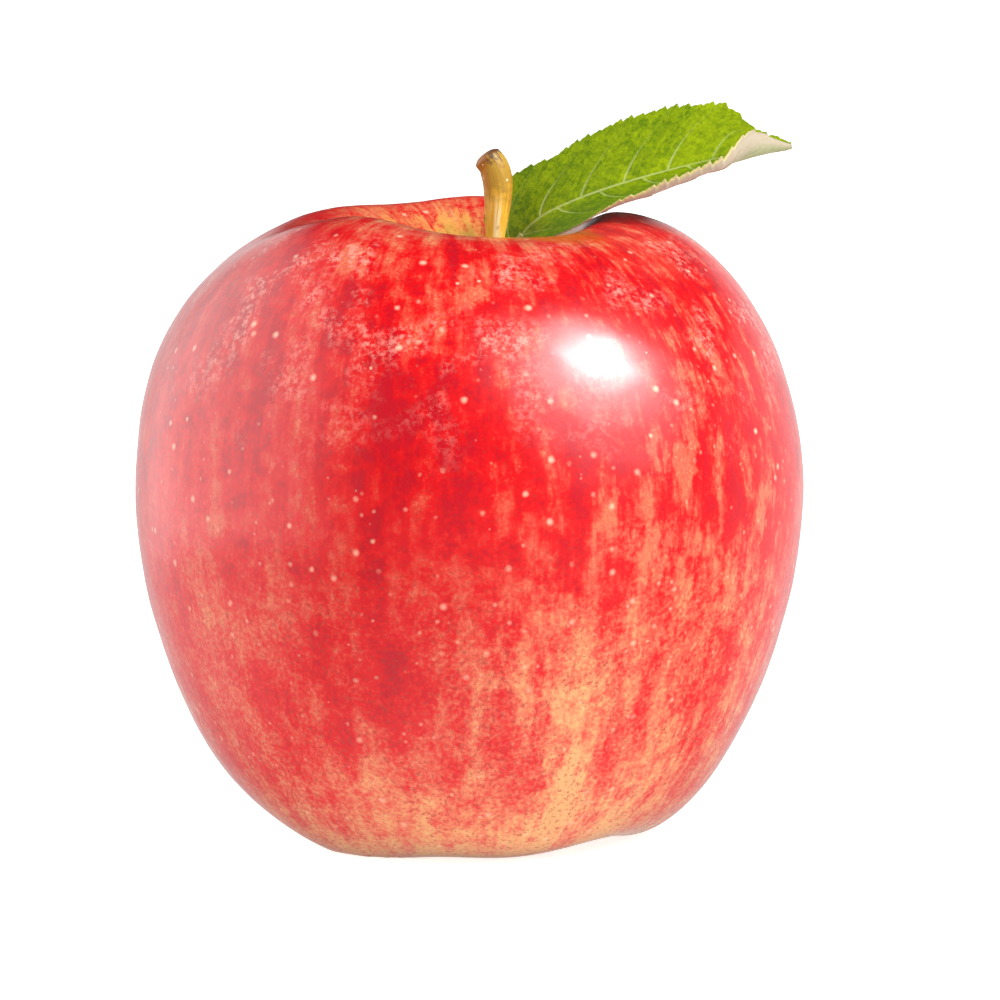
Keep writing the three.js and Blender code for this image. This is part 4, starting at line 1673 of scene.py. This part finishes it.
@dataclass
class Calyx:
    """The dried remains of the flower in the basin: a plug, five sepals and the stamens.

    Lengths are in metres, and tilts and turns in radians. The changes are how far copies differ.
    """

    radius: float = 2.9 * MM
    floor: float = 7.4 * MM
    plug_depth: float = 2.7 * MM
    plug_ribs: Ribs = Ribs(0.12 * MM, 2.5, 9.0)
    plug_faces: tuple[int, int] = (40, 40)
    dome: float = 0.2 * MM
    sepals: int = 5
    sepal_length: float = 6.2 * MM
    sepal_width: float = 2.9 * MM
    sepal_thickness: float = 0.34 * MM
    sepal_taper: float = 0.86
    sepal_root: float = 0.9 * MM
    sepal_lean: float = 1.5 * MM
    sepal_flare: float = 2.2 * MM
    sepal_cup: float = 0.35 * MM
    sepal_ripple: float = 0.1 * MM
    sepal_tilt: float = 0.06
    stamens: int = 16
    stamen_length: float = 3.6 * MM
    stamen_radius: float = 0.11 * MM
    stamen_spread: float = 1.3 * MM
    stamen_tilt: float = 0.3
    stamen_faces: tuple[int, int] = (6, 12)
    knob: Span = (0.82, 0.95)
    turn_change: float = 0.16
    spread_change: Span = (0.5, 1.0)
    size_change: Span = (0.86, 1.0)
    seed: int = 7

    def sepal(self) -> bpy.types.Object:
        """Makes one sepal, which hangs from the plug's edge and curls out at its tip."""
        along, across = np.meshgrid(np.linspace(0.0, 1.0, 25), np.linspace(-1.0, 1.0, 13))
        half = 0.5 * self.sepal_width * (1.0 - self.sepal_taper * along**1.4)
        lean = self.sepal_lean * np.sin(math.pi * along)
        out = self.radius - self.sepal_root - lean + self.sepal_flare * along**3
        height = self.floor + self.sepal_root - self.sepal_length * along
        curl = self.sepal_cup * across**2 + self.sepal_ripple * np.sin(9.0 * along + 3.0 * across)
        middle = np.stack((across * half, -out - curl, height), -1)
        normal = unit(np.cross(np.gradient(middle, axis=0), np.gradient(middle, axis=1)))
        reach = normal * (0.5 * self.sepal_thickness * (1.0 - 0.6 * across**2))[..., None]
        return add_object("sepal", sheet_mesh("sepal", middle + reach, middle - reach))

    def stamen(self, finish: bpy.types.Material) -> bpy.types.Object:
        """Makes one thin dried stamen, which hangs from the origin and ends in a small knob."""
        length = self.stamen_length / MM
        route = Route(((0.0, 0.0, 0.0), (0.1, -0.2, -0.5 * length), (0.5, -0.3, -length)))
        share = np.linspace(0.0, 1.0, 9)
        radii = self.stamen_radius * (1.0 - 0.4 * share + 1.3 * smoothstep(share, *self.knob))
        outline = rod_outline(radii, self.stamen_length)
        return turned_piece("stamen", route.dense(6), outline, self.stamen_faces, finish)

    def ring(
        self, tree: GrowthTree, name: str, source: bpy.types.Object, count: int, radius: float, tilt: float
    ) -> Socket:
        """Sets copies of a piece round the axis, each a little different.

        Args:
            tree: The calyx's tree.
            name: What the tree's inputs are named after.
            source: The piece to copy.
            count: How many copies there are.
            radius: How far from the axis they stand.
            tilt: How far a copy may lean, in radians.

        Returns:
            The copies.
        """
        seed = tree.size(f"{name} Seed", self.seed)
        points = tree.fill(tree.add("GeometryNodePoints"), Count=tree.size(f"{name} Count", count))
        number = tree.add("GeometryNodeInputIndex").outputs[0]
        turn = tree.times(number, math.tau / count)
        turn = tree.total(turn, tree.random(-self.turn_change, self.turn_change, seed))
        spread = tree.random(*self.spread_change, seed)
        spread = tree.times(tree.size(f"{name} Radius", radius), spread)
        place = tree.combine(
            tree.times(tree.math("SINE", turn), spread),
            tree.times(tree.math("COSINE", turn), tree.times(spread, -1.0)),
            0.0,
        )
        copies = tree.add("GeometryNodeInstanceOnPoints")
        lean = tree.combine(tree.random(-tilt, tilt, seed), tree.random(-tilt, tilt, seed), turn)
        tree.fill(
            copies,
            Points=tree.moved(points.outputs[0], Position=place),
            Instance=tree.shape(name, source),
            Rotation=lean,
            Scale=tree.random(*self.size_change, seed),
        )
        return copies.outputs[0]

    def build(self) -> None:
        """Grows the plug, the ring of sepals and the stamens, and dresses them."""
        finish = DriedFinish().material()
        top = self.floor + self.plug_depth
        section = (
            (0.0, self.floor - self.dome),
            (self.radius, self.floor + self.dome),
            (self.radius, top),
            (0.0, top),
        )
        outline = np.array([(radius, 0.0, height) for radius, height in section])
        axis = np.array([(0.0, 0.0, 0.0), (0.0, 0.0, 2.0 * top)])
        plug = turned_piece("calyx_plug", axis, outline, self.plug_faces, finish, self.plug_ribs)
        settle(plug, "calyx")
        sepal, stamen = self.sepal(), self.stamen(finish)
        tree = GrowthTree("sepal_growth")
        tree.close(self.ring(tree, "Sepal", sepal, self.sepals, 0.0, self.sepal_tilt), finish)
        settle(tree.grow("calyx_sepals"), "calyx")
        tree = GrowthTree("stamen_ring_growth")
        hung = tree.add("GeometryNodeTransform")
        ring = self.ring(tree, "Stamen", stamen, self.stamens, self.stamen_spread, self.stamen_tilt)
        tree.fill(hung, Geometry=ring, Translation=(0.0, 0.0, self.floor))
        tree.close(hung.outputs[0], finish)
        settle(tree.grow("calyx_stamens"), "calyx")
        discard(sepal, stamen)


def main() -> None:
    """Builds the studio and the apple's pieces in order."""
    logging.basicConfig(level=logging.INFO, format="%(name)s: %(message)s")
    Studio().build()
    for piece in (Fruit(), Stem(), Leaf(), Calyx()):
        piece.build()


if __name__ == "__main__":
    main()
